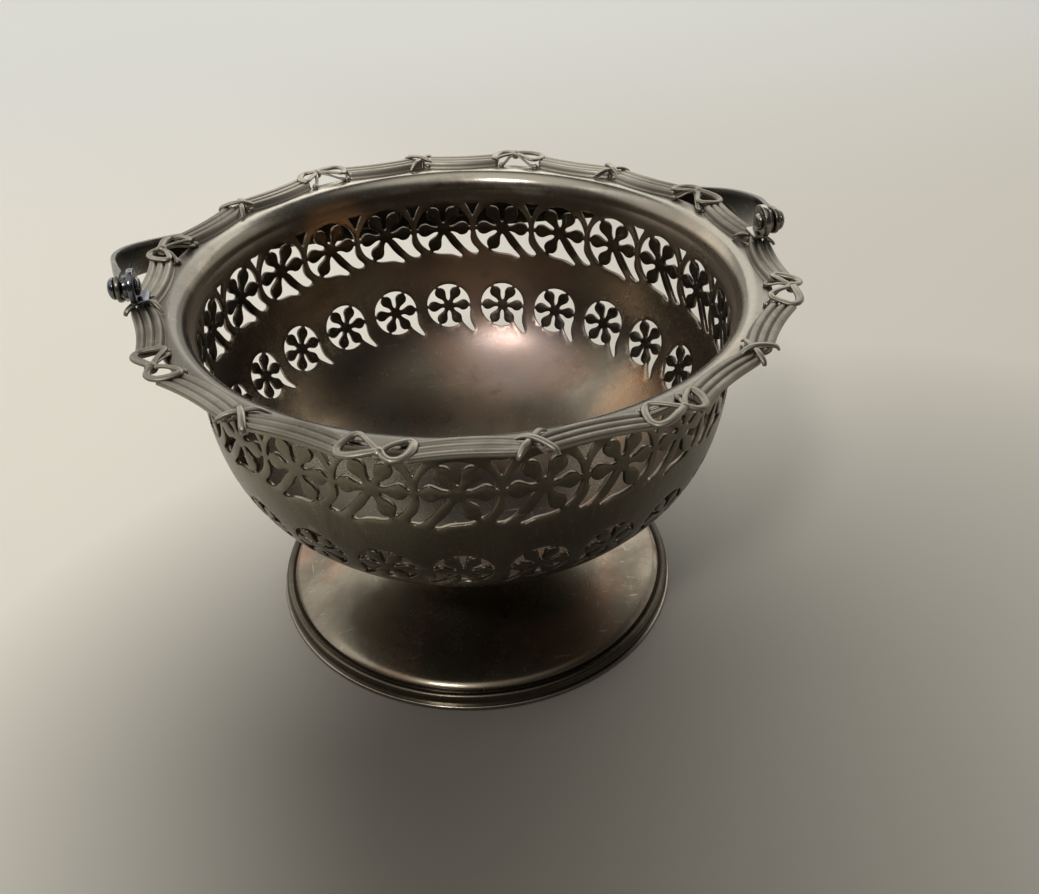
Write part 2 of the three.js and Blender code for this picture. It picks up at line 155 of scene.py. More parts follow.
def finishTree(graph, geometry, material):
    real = graph.out("GeometryNodeRealizeInstances", {0: geometry})
    shaded = graph.out("GeometryNodeSetShadeSmooth", {"Geometry": real, "Shade Smooth": True})
    painted = graph.out("GeometryNodeSetMaterial", {"Geometry": shaded, "Material": material})
    graph.node("NodeGroupOutput", {0: painted})
    return graph.tree


# Runs a tree on an object and keeps the result as a plain mesh
def bake(obj, tree, values):
    modifier = obj.modifiers.new(tree.name, "NODES")
    modifier.node_group = tree
    for item in tree.interface.items_tree:
        if item.in_out == "INPUT" and item.name in values:
            modifier[item.identifier] = values[item.name]
    bpy.context.view_layer.update()
    graph = bpy.context.evaluated_depsgraph_get()
    shape = obj.evaluated_get(graph)
    mesh = bpy.data.meshes.new_from_object(shape, preserve_all_data_layers=True, depsgraph=graph)
    obj.modifiers.remove(modifier)
    obj.data = mesh


# Meshes

def polar(radius, angle):
    return radius * cos(angle), radius * sin(angle)


def addObject(name, data):
    obj = bpy.data.objects.new(name, data)
    bpy.context.scene.collection.objects.link(obj)
    return obj


def meshObject(name, points, faces, scale=mm):
    mesh = bpy.data.meshes.new(name)
    mesh.from_pydata([(x * scale, y * scale, z * scale) for x, y, z in points], [], faces)
    mesh.validate()
    return addObject(name, mesh)


# A curve of straight steps, from lines of points that each have a radius
def lineObject(name, lines):
    curve = bpy.data.curves.new(name, "CURVE")
    curve.dimensions = "3D"
    curve.twist_mode = "Z_UP"
    for line in lines:
        spline = curve.splines.new("POLY")
        spline.points.add(len(line) - 1)
        for point, (x, y, z, radius) in zip(spline.points, line):
            point.co = (x * mm, y * mm, z * mm, 1)
            point.radius = radius * mm
    return addObject(name, curve)


def paint(obj, material):
    obj.data.materials.clear()
    obj.data.materials.append(material)
    for polygon in obj.data.polygons:
        polygon.use_smooth = True


# A smooth line through the points, with this many steps for each span
def smoothLine(points, steps, closed=False):
    count = len(points)
    made = []
    for i in range(count if closed else count - 1):
        if closed:
            p = [Vector(points[(i + k) % count]) for k in (-1, 0, 1, 2)]
        else:
            p = [Vector(points[min(max(i + k, 0), count - 1)]) for k in (-1, 0, 1, 2)]
        for j in range(steps):
            t = j / steps
            straight = (p[2] - p[0]) * t
            square = (2 * p[0] - 5 * p[1] + 4 * p[2] - p[3]) * t * t
            cubic = (3 * p[1] - p[0] - 3 * p[2] + p[3]) * t ** 3
            made.append(0.5 * (2 * p[1] + straight + square + cubic))
    if not closed:
        made.append(Vector(points[-1]))
    return [tuple(p) for p in made]


# The same closed line with points an even distance apart
def evenLoop(points, count):
    ring = [Vector(p) for p in points] + [Vector(points[0])]
    lengths = [0.0]
    for a, b in zip(ring, ring[1:]):
        lengths.append(lengths[-1] + (b - a).length)
    made, j = [], 0
    for i in range(count):
        want = lengths[-1] * i / count
        while lengths[j + 1] < want:
            j += 1
        part = (want - lengths[j]) / max(lengths[j + 1] - lengths[j], 1e-9)
        made.append(tuple(ring[j].lerp(ring[j + 1], part)))
    return made


def loopArea(loop):
    return sum(a[0] * b[1] - b[0] * a[1] for a, b in zip(loop, loop[1:] + loop[:1])) / 2


# Moves a closed line sideways; a sharp corner reaches out no further than its limit allows
def offsetLoop(loop, distance, sharpLimit=0.6):
    count = len(loop)
    made = []
    for i in range(count):
        before, here, after = (Vector(loop[(i + k) % count]) for k in (-1, 0, 1))
        into = (here - before).normalized()
        away = (after - here).normalized()
        along = (into + away).normalized()
        reach = distance / max(along.dot(into), sharpLimit)
        made.append((here.x + along.y * reach, here.y - along.x * reach))
    return made


# Steps round the edge of a sheet: how far back from the edge, and how deep, as shares of the rounding
roundingShares = ((1, 0), (0.29, 0.29), (0, 1))


def edgeRings(wall, rounding):
    front = [(back * rounding, -deep * rounding) for back, deep in roundingShares]
    return front + [(back, -wall - depth) for back, depth in reversed(front)]


# A flat sheet from z 0 down to its wall, cut to an outline, with holes whose edges are rounded.
# The outline has a wall only along outerEdge, so that copies of the sheet can be joined elsewhere.
def sheetMesh(outline, holes, inner, wall, rounding, outerEdge=None):
    points = list(outline)
    faces = [list(range(len(outline)))]
    rings = [offsetLoop(hole, rounding) for hole in holes]
    for ring in rings:
        faces.append(list(range(len(points), len(points) + len(ring))))
        points += ring
    points += inner
    flat, _, triangles, fromPoint, _, fromFace = delaunay_2d_cdt(
        [Vector(p[:2]) for p in points], [], faces, 1, 1e-5, True)
    keep = [t for t, owners in zip(triangles, fromFace) if owners == [0]]
    place = {}
    for i, sources in enumerate(fromPoint):
        for source in sources:
            place[source] = i
    vertices = [(p.x, p.y, 0.0) for p in flat] + [(p.x, p.y, -wall) for p in flat]
    back = len(flat)
    mesh = [list(t) for t in keep] + [[i + back for i in reversed(t)] for t in keep]
    steps = edgeRings(wall, rounding)

    def wrapEdge(first, loop, inwards, closed=True, flip=False):
        previous = [place[first + i] for i in range(len(loop))]
        for step, (reach, depth) in enumerate(steps[1:]):
            if step == len(steps) - 2:
                ring = [place[first + i] + back for i in range(len(loop))]
            else:
                ring = list(range(len(vertices), len(vertices) + len(loop)))
                vertices.extend((x, y, depth) for x, y in inwards(reach))
            spans = len(loop) if closed else len(loop) - 1
            for i in range(spans):
                j = (i + 1) % len(loop)
                quad = [previous[i], previous[j], ring[j], ring[i]]
                mesh.append(quad[::-1] if flip else quad)
            previous = ring

    start = len(outline)
    for hole in holes:
        wrapEdge(start, hole, lambda reach, hole=hole: offsetLoop(hole, reach))
        start += len(hole)
    if outerEdge:
        first, loop, inwards, closed = outerEdge
        wrapEdge(first, loop, inwards, closed, flip=True)
    return vertices, mesh


# A solid sheet with rounded edges all round, drawn as an outline that runs anticlockwise
def plateMesh(outline, holes, inner, wall, rounding):
    outer = offsetLoop(outline, -rounding)
    edge = (0, outer, lambda reach: offsetLoop(outline, -reach), True)
    return sheetMesh(outer, holes, inner, wall, rounding, edge)


# Turns a closed line of radius and height, anticlockwise, about the upright axis
def turnedMesh(line, segments):
    vertices, faces, ring = [], [], []
    for radius, height in line:
        if radius < 1e-6:
            ring.append([len(vertices)] * segments)
            vertices.append((0, 0, height))
            continue
        ring.append(list(range(len(vertices), len(vertices) + segments)))
        for j in range(segments):
            vertices.append((*polar(radius, fullTurn * j / segments), height))
    closed = line[0][0] > 1e-6
    for i in range(len(line) if closed else len(line) - 1):
        a, b = ring[i], ring[(i + 1) % len(line)]
        for j in range(segments):
            k = (j + 1) % segments
            face = [a[j], a[k], b[k], b[j]]
            faces.append([v for n, v in enumerate(face) if v not in face[:n]])
    return vertices, faces


# Rounds the named corners of a closed line, each by its own radius
def rounded(line, corners, steps=4):
    made = []
    for i, point in enumerate(line):
        here = Vector(point)
        if i not in corners:
            made.append(tuple(here))
            continue
        before, after = Vector(line[i - 1]), Vector(line[(i + 1) % len(line)])
        a = here + (before - here).normalized() * corners[i]
        b = here + (after - here).normalized() * corners[i]
        for j in range(steps + 1):
            t = j / steps
            made.append(tuple((1 - t) ** 2 * a + 2 * t * (1 - t) * here + t * t * b))
    return made


def joined(parts):
    vertices, faces = [], []
    for points, polygons in parts:
        start = len(vertices)
        vertices += points
        faces += [[v + start for v in polygon] for polygon in polygons]
    return vertices, faces


# Metals. A pattern of noise has its scale, detail, roughness, distortion, low level and high level

def srgb(red, green, blue):
    def linear(c):
        c /= 255
        return c / 12.92 if c <= 0.04045 else ((c + 0.055) / 1.055) ** 2.4
    return (linear(red), linear(green), linear(blue), 1.0)


plateLooks = {
    "tarnish": srgb(84, 76, 66), "copper": srgb(150, 106, 84), "edge": srgb(196, 190, 178),
    "crevice": srgb(46, 41, 35), "filmScale": 30.0, "film": (7.0, 0.62, 0.5, 0.38, 0.64),
    "grain": (900.0, 5.0, 0.6), "waves": (70.0, 3.0, 0.5), "grime": (160.0, 6.0, 0.7, 0.0, 0.55, 0.75),
    "warm": (24.0, 3.0, 0.5, 0.8, 0.5, 0.68), "edgeLevels": (0.505, 0.56), "creviceLevels": (0.5, 0.42),
    "spots": 0.45, "creviceAmount": 0.8, "edgeAmount": 0.3, "scratchAmount": 0.22, "copperAmount": 0,
    "backAmount": 0, "backLightRun": (0.03, 0.07), "roughness": (0.4, 0.52), "grainRoughness": 0.12,
    "edgePolish": 0.08, "grainHeight": 0.08, "scratchDepth": 0.05, "bump": 0.25, "bumpDistance": 0.0006,
}

# Directions of the fine scratches: turn, and how much the noise is stretched
scratchRuns = ((0.4, (70, 900, 900)), (-0.9, (900, 60, 900)), (1.7, (900, 900, 80)))


def newMaterial(name):
    material = bpy.data.materials.new(name)
    material.use_nodes = True
    return material, Graph(material.node_tree), material.node_tree.nodes["Principled BSDF"]


# Fine scratches: thin stretched noise in three directions
def scratchField(graph, coords):
    field = 0.0
    for turn, stretch in scratchRuns:
        inputs = {"Vector": coords, "Rotation": (turn, turn * 0.7, turn * 1.3), "Scale": stretch}
        turned = graph.out("ShaderNodeMapping", inputs)
        field = graph.math("MAXIMUM", field, graph.pattern(turned, 1.0, 2.0, 0.55, 0.0, 0.66, 0.76))
    return field


# Links the colour, the roughness with its grain, and a relief of waves, grain and scratches
def finishPlate(graph, shader, looks, coords, scratches, base, rough):
    fine = graph.noise(coords, *plateLooks["grain"])
    grain = graph.times(graph.less(fine, 0.5), plateLooks["grainRoughness"])
    height = graph.add(graph.noise(coords, *looks["waves"]), graph.times(fine, looks["grainHeight"]))
    height = graph.less(height, graph.times(scratches, looks["scratchDepth"]))
    relief = {"Height": height, "Strength": looks["bump"], "Distance": plateLooks["bumpDistance"]}
    links = graph.tree.links
    links.new(base, shader.inputs["Base Color"])
    links.new(graph.add(rough, grain), shader.inputs["Roughness"])
    links.new(graph.out("ShaderNodeBump", relief), shader.inputs["Normal"])
    shader.inputs["Metallic"].default_value = 1.0


def wornPlate(name, clean, dull, **changes):
    looks = {**plateLooks, **changes}
    material, graph, shader = newMaterial(name)
    coords, point = graph.surface()
    film = graph.pattern(coords, looks["filmScale"], *looks["film"])
    high = graph.ramp(point, *looks["edgeLevels"])
    scratches = scratchField(graph, coords)
    base = graph.mix(film, srgb(*clean), srgb(*dull))
    # A lighter colour towards the back, along Y, is painted light
    if looks["backAmount"]:
        back = graph.ramp(graph.split(coords)[1], *looks["backLightRun"])
        base = graph.layer(base, back, looks["backAmount"], looks["backColour"])
    if looks["copperAmount"]:
        warm = graph.pattern(coords, *looks["warm"])
        base = graph.layer(base, warm, looks["copperAmount"], looks["copper"])
    base = graph.layer(base, graph.pattern(coords, *looks["grime"]), looks["spots"], looks["tarnish"])
    # Hollows are darkened: partly tarnish that gathers there, partly painted shade
    low = graph.ramp(point, *looks["creviceLevels"])
    base = graph.layer(base, low, looks["creviceAmount"], looks["crevice"])
    base = graph.layer(base, high, looks["edgeAmount"], looks["edge"])
    base = graph.layer(base, scratches, looks["scratchAmount"], looks["edge"])
    rough = graph.less(graph.mixValue(film, *looks["roughness"]), graph.times(high, looks["edgePolish"]))
    finishPlate(graph, shader, looks, coords, scratches, base, rough)
    return material


# The rim is painted lighter towards the back, as painted light
rimMetal = wornPlate("tarnished rim with painted back light", (128, 122, 112), (97, 92, 82), edge=srgb(184, 178, 164),
                     roughness=(0.44, 0.54), backColour=srgb(206, 200, 186), backAmount=0.4)
handleMetal = wornPlate("worn handle plate", (57, 53, 46), (41, 38, 32), filmScale=22.0, spots=0.35,
                        roughness=(0.26, 0.4))
footMetal = wornPlate("dark foot plate", (128, 120, 106), (96, 88, 76), copperAmount=0.35, filmScale=20.0,
                      roughness=(0.2, 0.32), bump=0.15, spots=0.3)
beadMetal = wornPlate("dark bead plate", (78, 72, 61), (56, 50, 42), edge=srgb(124, 116, 102),
                      roughness=(0.28, 0.4))
hingeMetal = wornPlate("blackened hinge", (84, 86, 92), (52, 53, 58), tarnish=srgb(34, 33, 34),
                       edge=srgb(150, 152, 156), roughness=(0.22, 0.36), spots=0.4)
# A lighter copy of the hinge metal, used on the right hinge as painted light
litHingeMetal = wornPlate("hinge with painted light", (140, 136, 128), (92, 88, 80), roughness=(0.2, 0.34))

# A run goes along X, Y or Z in metres: from, to, and the amounts at its ends where they aren't 0 and 1
bowlLooks = {
    "insideClean": srgb(138, 129, 114), "insideDull": srgb(104, 95, 82),
    "outsideClean": srgb(112, 106, 92), "outsideDull": srgb(84, 77, 66), "streak": srgb(64, 56, 48),
    "copper": srgb(156, 120, 100), "violet": srgb(120, 106, 106), "petalShade": srgb(50, 46, 39),
    "collarFrontLight": srgb(186, 170, 150), "collarBackShade": srgb(66, 56, 46), "collarRun": (0.01, 0.05),
    "collarRise": (0.081, 0.086, 0.0, 0.5), "flangeClean": srgb(108, 103, 94), "flangeDull": srgb(90, 86, 78),
    "flangeRise": (0.0892, 0.0928), "flangeBackLight": srgb(200, 194, 180), "flangeRightLight": srgb(190, 184, 170),
    "flangeBackLightRun": (0.015, 0.07, 0.0, 0.85), "flangeRightLightRun": (0.02, 0.07, 0.0, 0.2),
    "spot": srgb(46, 41, 35), "edge": srgb(164, 156, 142), "scratch": srgb(190, 182, 168),
    "cloud": (16.0, 7.0, 0.62, 0.6), "filmLevels": (0.36, 0.64), "cloudShift": 0.012,
    "copperPattern": (26.0, 4.0, 0.55, 1.0, 0.5, 0.66), "violetPattern": (13.0, 3.0, 0.5, 0.6, 0.42, 0.62),
    "streakPattern": (60.0, 5.0, 0.6, 0.3, 0.52, 0.7), "streakStretch": (1, 1, 0.25),
    "grime": (140.0, 6.0, 0.7, 0.0, 0.56, 0.76), "edgeLevels": (0.51, 0.58), "waves": (55.0, 3.0, 0.5),
    "copperAmount": 0.35, "violetAmount": 0.2, "streakAmount": 0.5, "spotAmount": 0.35, "edgeAmount": 0.5,
    "scratchAmount": 0.16, "outerPetalShade": 0.1, "innerPetalShade": 0.8, "patchHeart": 0.3,
    "roughness": (0.26, 0.36), "flangeRoughness": (0.36, 0.18), "lipRadii": (0.0705, 0.0685),
    "grainHeight": 0.06, "scratchDepth": 0.04, "bump": 0.2,
}

# Patches of painted light and shade inside the bowl: the pale and coppery ones are painted highlights and
# reflections, the dark ones painted shade. Each has a centre, reach, colour and amount
paintedLightPatches = [
    ((0.050, 0.012, 0.041), 0.018, srgb(196, 150, 108), 0.42),
    ((-0.040, 0.031, 0.039), 0.018, srgb(168, 136, 102), 0.3),
    ((0.004, -0.008, 0.030), 0.036, srgb(34, 29, 24), 0.95),
    ((-0.010, 0.035, 0.040), 0.018, srgb(56, 48, 38), 0.6),
    ((0.022, 0.050, 0.042), 0.026, srgb(176, 156, 152), 0.5),
    ((0.014, 0.062, 0.061), 0.024, srgb(184, 152, 134), 0.6),
    ((-0.028, 0.058, 0.084), 0.013, srgb(196, 150, 112), 0.7),
]


# The bowl's metal changes with its height, and between its inner and outer face; it also carries painted
# light and shade on the collar, the flange, the petals and in patches inside
def bowlMetal():
    looks = bowlLooks
    material, graph, shader = newMaterial("tarnished bowl with painted light and shade")
    coords, point = graph.surface()
    x, y, z = graph.split(coords)
    inner, petalShade = graph.attribute("inner"), graph.attribute("petalShade")
    cloud = graph.noise(coords, *looks["cloud"])
    film = graph.ramp(cloud, *looks["filmLevels"])
    wobble = graph.times(graph.less(cloud, 0.5), looks["cloudShift"])
    inside = graph.mix(film, looks["insideClean"], looks["insideDull"])
    for name in ("copper", "violet"):
        marks = graph.pattern(coords, *looks[name + "Pattern"])
        inside = graph.layer(inside, marks, looks[name + "Amount"], looks[name])
    # Just under the lip the inside is painted lighter at the front and darker at the back: painted light and
    # painted shade
    collarLightAndShade = graph.mix(graph.ramp(y, *looks["collarRun"]), looks["collarFrontLight"], looks["collarBackShade"])
    inside = graph.mix(graph.ramp(z, *looks["collarRise"]), inside, collarLightAndShade)
    for centre, reach, colour, amount in paintedLightPatches:
        away = graph.add(graph.vectorMath("DISTANCE", coords, centre), wobble)
        inside = graph.layer(inside, graph.ramp(away, reach, looks["patchHeart"] * reach), amount, colour)
    upright = graph.out("ShaderNodeMapping", {"Vector": coords, "Scale": looks["streakStretch"]})
    outside = graph.mix(film, looks["outsideClean"], looks["outsideDull"])
    streaks = graph.pattern(upright, *looks["streakPattern"])
    outside = graph.layer(outside, streaks, looks["streakAmount"], looks["streak"])
    base = graph.mix(inner, outside, inside)
    # The petals of the flowers are darkened, mostly on the inner face: partly dark tarnish, partly painted
    # shade
    shade = graph.mixValue(inner, looks["outerPetalShade"], looks["innerPetalShade"])
    base = graph.layer(base, petalShade, shade, looks["petalShade"])
    flat = graph.mix(film, looks["flangeClean"], looks["flangeDull"])
    # The flange is painted lighter towards the back and towards the right: painted light
    flat = graph.mix(graph.ramp(y, *looks["flangeBackLightRun"]), flat, looks["flangeBackLight"])
    flat = graph.mix(graph.ramp(x, *looks["flangeRightLightRun"]), flat, looks["flangeRightLight"])
    flange = graph.ramp(graph.add(z, wobble), *looks["flangeRise"])
    base = graph.mix(flange, base, flat)
    base = graph.layer(base, graph.pattern(coords, *looks["grime"]), looks["spotAmount"], looks["spot"])
    high = graph.times(graph.ramp(point, *looks["edgeLevels"]), graph.less(1.0, petalShade))
    base = graph.layer(base, high, looks["edgeAmount"], looks["edge"])
    scratches = scratchField(graph, coords)
    base = graph.layer(base, scratches, looks["scratchAmount"], looks["scratch"])
    across = graph.vectorMath("LENGTH", graph.combine(x, y, 0.0))
    lip = graph.times(flange, graph.ramp(across, *looks["lipRadii"]))
    rough = graph.mixValue(flange, graph.mixValue(film, *looks["roughness"]),
                           graph.mixValue(lip, *looks["flangeRoughness"]))
    finishPlate(graph, shader, looks, coords, scratches, base, rough)
    return material


bowlPlate = bowlMetal()
print("metals made")


# Bowl: one flat tile of the pierced wall, repeated round and wrapped on the bowl's profile

bowl = {
    "footHeight": 28, "wallRadius": 65.7, "wall": 1.1, "baseRadius": 22, "bellyRise": 50, "uprightRise": 7.9,
    "flareRise": 2.7, "mouthFlare": 1, "lipRadius": 3.5, "flangeRadius": 73.4, "bellyPower": 2.75,
    "floorRadii": (0, 6, 13, 19), "bellySteps": 40, "bellyCrowding": 1.8, "uprightLean": 0.1, "lipSteps": 12,
    "motifs": 23, "firstAngle": radians(86.4), "upperHub": 76.5, "lowerHub": 52.3, "upperFlower": 8.1,
    "lowerFlower": 6.7, "upperFans": (30, 90, 150, 210), "lowerFans": (30, 90, 150, 210, 270),
    "upperFanPoints": 42, "lowerFanPoints": 40, "tailPoints": 52, "footPoints": 50, "spandrelPoints": 26,
    "columns": 14, "firstRows": (0, 1.5, 3.5, 6, 9, 12, 15), "spacing": 1.4, "lipRows": 18,
    "edgeClear": 0.55, "upperPetals": 8.6, "lowerPetals": 7.1, "petalFade": 0.8, "rounding": 0.2,
    "weld": 0.01, "lineSteps": 4, "openingSteps": 8,
}
bellyTop = bowl["footHeight"] + bowl["bellyRise"]
wallTop = bellyTop + bowl["uprightRise"]
lipHeight = wallTop + bowl["flareRise"]
lipCentre = bowl["wallRadius"] + bowl["mouthFlare"] + bowl["lipRadius"]
rimHeight = lipHeight + bowl["lipRadius"] + bowl["wall"]


def bellyRadius(height):
    power = bowl["bellyPower"]
    depth = bowl["bellyRise"] / (1 - (bowl["baseRadius"] / bowl["wallRadius"]) ** power) ** (1 / power)
    share = max(bellyTop - height, 0) / depth
    return bowl["wallRadius"] * (1 - share ** power) ** (1 / power)


def bowlProfile():
    low, wide, lip = bowl["footHeight"], bowl["wallRadius"], bowl["lipRadius"]
    line = [(radius, low) for radius in bowl["floorRadii"]]
    for i in range(1, bowl["bellySteps"] + 1):
        height = low + bowl["bellyRise"] * (i / bowl["bellySteps"]) ** bowl["bellyCrowding"]
        line.append((bellyRadius(height), height))
    line += [(wide, (bellyTop + wallTop) / 2), (wide + bowl["uprightLean"], wallTop)]
    for i in range(bowl["lipSteps"] + 1):
        turn = pi / 2 * i / bowl["lipSteps"]
        line.append((lipCentre - lip * cos(turn), lipHeight + lip * sin(turn)))
    line.append((bowl["flangeRadius"], lipHeight + lip))
    return smoothLine([(r, 0, z) for r, z in line], bowl["lineSteps"])


profile = bowlProfile()
profileLengths = [0.0]
for a, b in zip(profile, profile[1:]):
    profileLengths.append(profileLengths[-1] + dist(a, b))


def lengthAt(height):
    passed = (length for length, point in zip(profileLengths, profile) if point[2] >= height)
    return next(passed, profileLengths[-1])


def radiusAt(along):
    passed = (point[0] for length, point in zip(profileLengths, profile) if length >= along)
    return next(passed, profile[-1][0])


innerRadius = bowl["wallRadius"] - bowl["wall"]
pitch = fullTurn * innerRadius / bowl["motifs"]
upperLine = lengthAt(bowl["upperHub"])
lowerLine = lengthAt(bowl["lowerHub"])

# One opening between two petals of an upper flower: distance from the hub and half width
fanShape = [(1.9, 0), (2.2, 0.4), (3.0, 0.7), (3.9, 0.78), (4.8, 0.8), (5.6, 0.97), (6.3, 1.45), (6.72, 2.1),
            (6.85, 2.85), (6.88, 3.35), (7.2, 3.58), (7.5, 3.2), (7.85, 2.15), (8.1, 1.0), (8.15, 0)]
# The other openings, from the hub: to the right and up
upperTail = [(1.9, -1.0), (2.9, -2.1), (4.2, -3.9), (5.7, -5.9), (7.2, -7.5), (8.7, -8.3), (9.9, -8.2),
             (10.35, -7.6), (9.8, -6.7), (8.8, -5.5), (8.1, -4.1), (7.95, -2.7), (8.1, -1.4), (7.95, -0.65),
             (7.55, -0.65), (7.2, -1.25), (6.5, -1.85), (5.6, -2.08), (4.7, -1.9), (3.9, -1.35), (2.8, -0.95)]
upperFoot = [(0, -1.8), (-0.45, -2.4), (-0.72, -3.4), (-0.8, -4.7), (-1.0, -5.7), (-1.5, -6.35),
             (-2.2, -6.75), (-3.2, -6.85), (-3.55, -7.15), (-3.1, -7.55), (-2.1, -7.9), (-0.6, -8.15),
             (0.9, -8.25), (2.4, -8.5), (3.8, -9.1), (4.9, -9.4), (5.3, -8.8), (4.3, -7.6), (3.1, -6.3),
             (2.0, -4.9), (1.1, -3.4), (0.5, -2.4)]
lowerTail = [(1.55, -0.95), (2.0, -1.65), (2.8, -2.3), (3.6, -2.95), (3.95, -3.9), (4.0, -4.9), (4.6, -5.9),
             (5.6, -7.0), (6.8, -8.1), (7.7, -8.6), (8.1, -8.1), (7.6, -7.0), (6.9, -5.6), (6.6, -4.2),
             (6.6, -2.8), (6.75, -1.5), (6.55, -0.65), (6.2, -0.65), (5.95, -1.05), (5.4, -1.5), (4.6, -1.72),
             (3.9, -1.55), (3.0, -1.0), (2.2, -0.85)]
spandrel = [(0, 3.9), (-0.55, 4.9), (-1.2, 6.3), (-2.0, 7.7), (-1.9, 8.2), (0, 8.0), (1.9, 8.2), (2.0, 7.7),
            (1.2, 6.3), (0.55, 4.9)]


def fanLoop(degrees, radius):
    share = radius / bowl["upperFlower"]
    angle = radians(degrees)
    half = [(reach * share, wide * share) for reach, wide in fanShape]
    loop = half + [(reach, -wide) for reach, wide in reversed(half[1:-1])]
    return [(reach * cos(angle) - wide * sin(angle), reach * sin(angle) + wide * cos(angle))
            for reach, wide in loop]


def opening(points, hub, stretch, count):
    placed = [(x * stretch, y + hub) for x, y in points]
    loop = evenLoop(smoothLine(placed, bowl["openingSteps"], closed=True), count)
    return loop if loopArea(loop) > 0 else loop[::-1]


def bowlOpenings():
    stretch = innerRadius / radiusAt(lowerLine)
    upper = [(fanLoop(a, bowl["upperFlower"]), "upperFanPoints") for a in bowl["upperFans"]]
    upper += [(upperTail, "tailPoints"), (upperFoot, "footPoints")]
    lower = [(fanLoop(a, bowl["lowerFlower"]), "lowerFanPoints") for a in bowl["lowerFans"]]
    lower += [(lowerTail, "tailPoints")]
    holes = [opening(points, upperLine, 1, bowl[count]) for points, count in upper]
    holes += [opening(points, lowerLine, stretch, bowl[count]) for points, count in lower]
    between = [(x + pitch / 2, y) for x, y in spandrel]
    return holes + [opening(between, upperLine, 1, bowl["spandrelPoints"])]


# The side edges of a tile bend round the openings they pass: sideways reach, middle and half height
seamBends = [(2.4, upperLine - 7.1, 1.7), (0.7, lowerLine - 8.0, 1.6), (3.0, upperLine + 7.4, 2.0)]


def seamBend(y):
    return sum(reach * exp(-((y - middle) / spread) ** 2 / 2) for reach, middle, spread in seamBends)


# How far a point lies within a flower: 1 on the petals, 0 on the plain wall
def petalShare(x, y):
    share = 0.0
    for hub, radius in ((upperLine, bowl["upperPetals"]), (lowerLine, bowl["lowerPetals"])):
        for shift in (-pitch, 0, pitch):
            inside = radius - hypot(x - shift, y - hub)
            share = max(share, min(max(inside / bowl["petalFade"], 0), 1))
    return share


def bowlTile():
    total = profileLengths[-1] - bowl["rounding"]
    lipStart = lengthAt(wallTop)
    rows = list(bowl["firstRows"])
    while rows[-1] + bowl["spacing"] < lipStart:
        rows.append(rows[-1] + bowl["spacing"])
    lipRows = bowl["lipRows"]
    rows += [lipStart + (total - lipStart) * (i + 0.5) / (lipRows + 0.5) for i in range(lipRows)] + [total]
    columns = bowl["columns"]
    across = [-pitch / 2 + pitch * i / columns for i in range(columns + 1)]
    bottom = [(x, 0.0) for x in across]
    right = [(pitch / 2 + seamBend(y), y) for y in rows[1:-1]]
    top = [(x, total) for x in reversed(across)]
    left = [(-pitch / 2 + seamBend(y), y) for y in reversed(rows[1:-1])]
    holes = bowlOpenings()
    edges = [Vector(p) for hole in holes for p in hole]
    inner = []
    for y in rows[1:-1]:
        shift = seamBend(y)
        for x in across[1:-1]:
            here = Vector((x + shift, y))
            if min((here - edge).length_squared for edge in edges) > bowl["edgeClear"]:
                inner.append(tuple(here))
    firstTop = len(bottom) + len(right)
    edge = (firstTop, top, lambda reach: [(x, total + bowl["rounding"] - reach) for x, _ in top], False)
    return sheetMesh(bottom + right + top + left, holes, inner, bowl["wall"], bowl["rounding"], edge)


def wrapTree():
    graph, given = geometryTree("pierced wall", [
        ("Count", "int"), ("Pitch", "float"), ("First Angle", "float"), ("Wall", "float"), ("Weld", "float"),
        ("Profile", "object"), ("Metal", "material")])
    offset = graph.combine(given["Pitch"], 0.0, 0.0)
    spots = graph.out("GeometryNodeMeshLine", {"Count": given["Count"], "Offset": offset})
    copies = graph.out("GeometryNodeInstanceOnPoints", {"Points": spots, "Instance": given["Geometry"]})
    strip = graph.out("GeometryNodeRealizeInstances", {0: copies})
    x, y, depth = graph.split(graph.out("GeometryNodeInputPosition"))
    inside = graph.math("DIVIDE", graph.times(depth, -1.0), given["Wall"])
    marks = {"Geometry": strip, "Name": "inner", "Value": inside}
    marked = graph.out("GeometryNodeStoreNamedAttribute", marks, data_type="FLOAT", domain="POINT")
    roundLength = graph.times(given["Pitch"], given["Count"])
    turn = graph.times(graph.math("DIVIDE", x, roundLength), -fullTurn)
    angle = graph.add(turn, given["First Angle"])
    (px, _, pz), (tx, _, tz) = graph.along(given["Profile"], y)
    radius = graph.add(px, graph.times(tz, depth))
    height = graph.less(pz, graph.times(tx, depth))
    wrapped = graph.combine(graph.times(radius, graph.math("COSINE", angle)),
                            graph.times(radius, graph.math("SINE", angle)), height)
    bent = graph.out("GeometryNodeSetPosition", {"Geometry": marked, "Position": wrapped})
    flipped = graph.out("GeometryNodeFlipFaces", {"Mesh": bent})
    welded = graph.out("GeometryNodeMergeByDistance", {"Geometry": flipped, "Distance": given["Weld"]})
    return finishTree(graph, welded, given["Metal"])


vertices, faces = bowlTile()
bowlPiece = meshObject("pierced_bowl", vertices, faces)
# The petal share marks where the painted petal shade goes
petals = bowlPiece.data.attributes.new("petalShade", "FLOAT", "POINT")
petals.data.foreach_set("value", [petalShare(x, y) for x, y, _ in vertices])
profileLine = lineObject("bowl profile", [[(*p, 1) for p in profile]])
bake(bowlPiece, wrapTree(), {
    "Count": bowl["motifs"], "Pitch": pitch * mm, "First Angle": bowl["firstAngle"],
    "Wall": bowl["wall"] * mm, "Weld": bowl["weld"] * mm, "Profile": profileLine, "Metal": bowlPlate})
bpy.data.objects.remove(profileLine)
print("bowl made:", len(bowlPiece.data.polygons), "faces")


# Border: three reeds in shallow arcs, with a crossed ribbon and a bow in turn

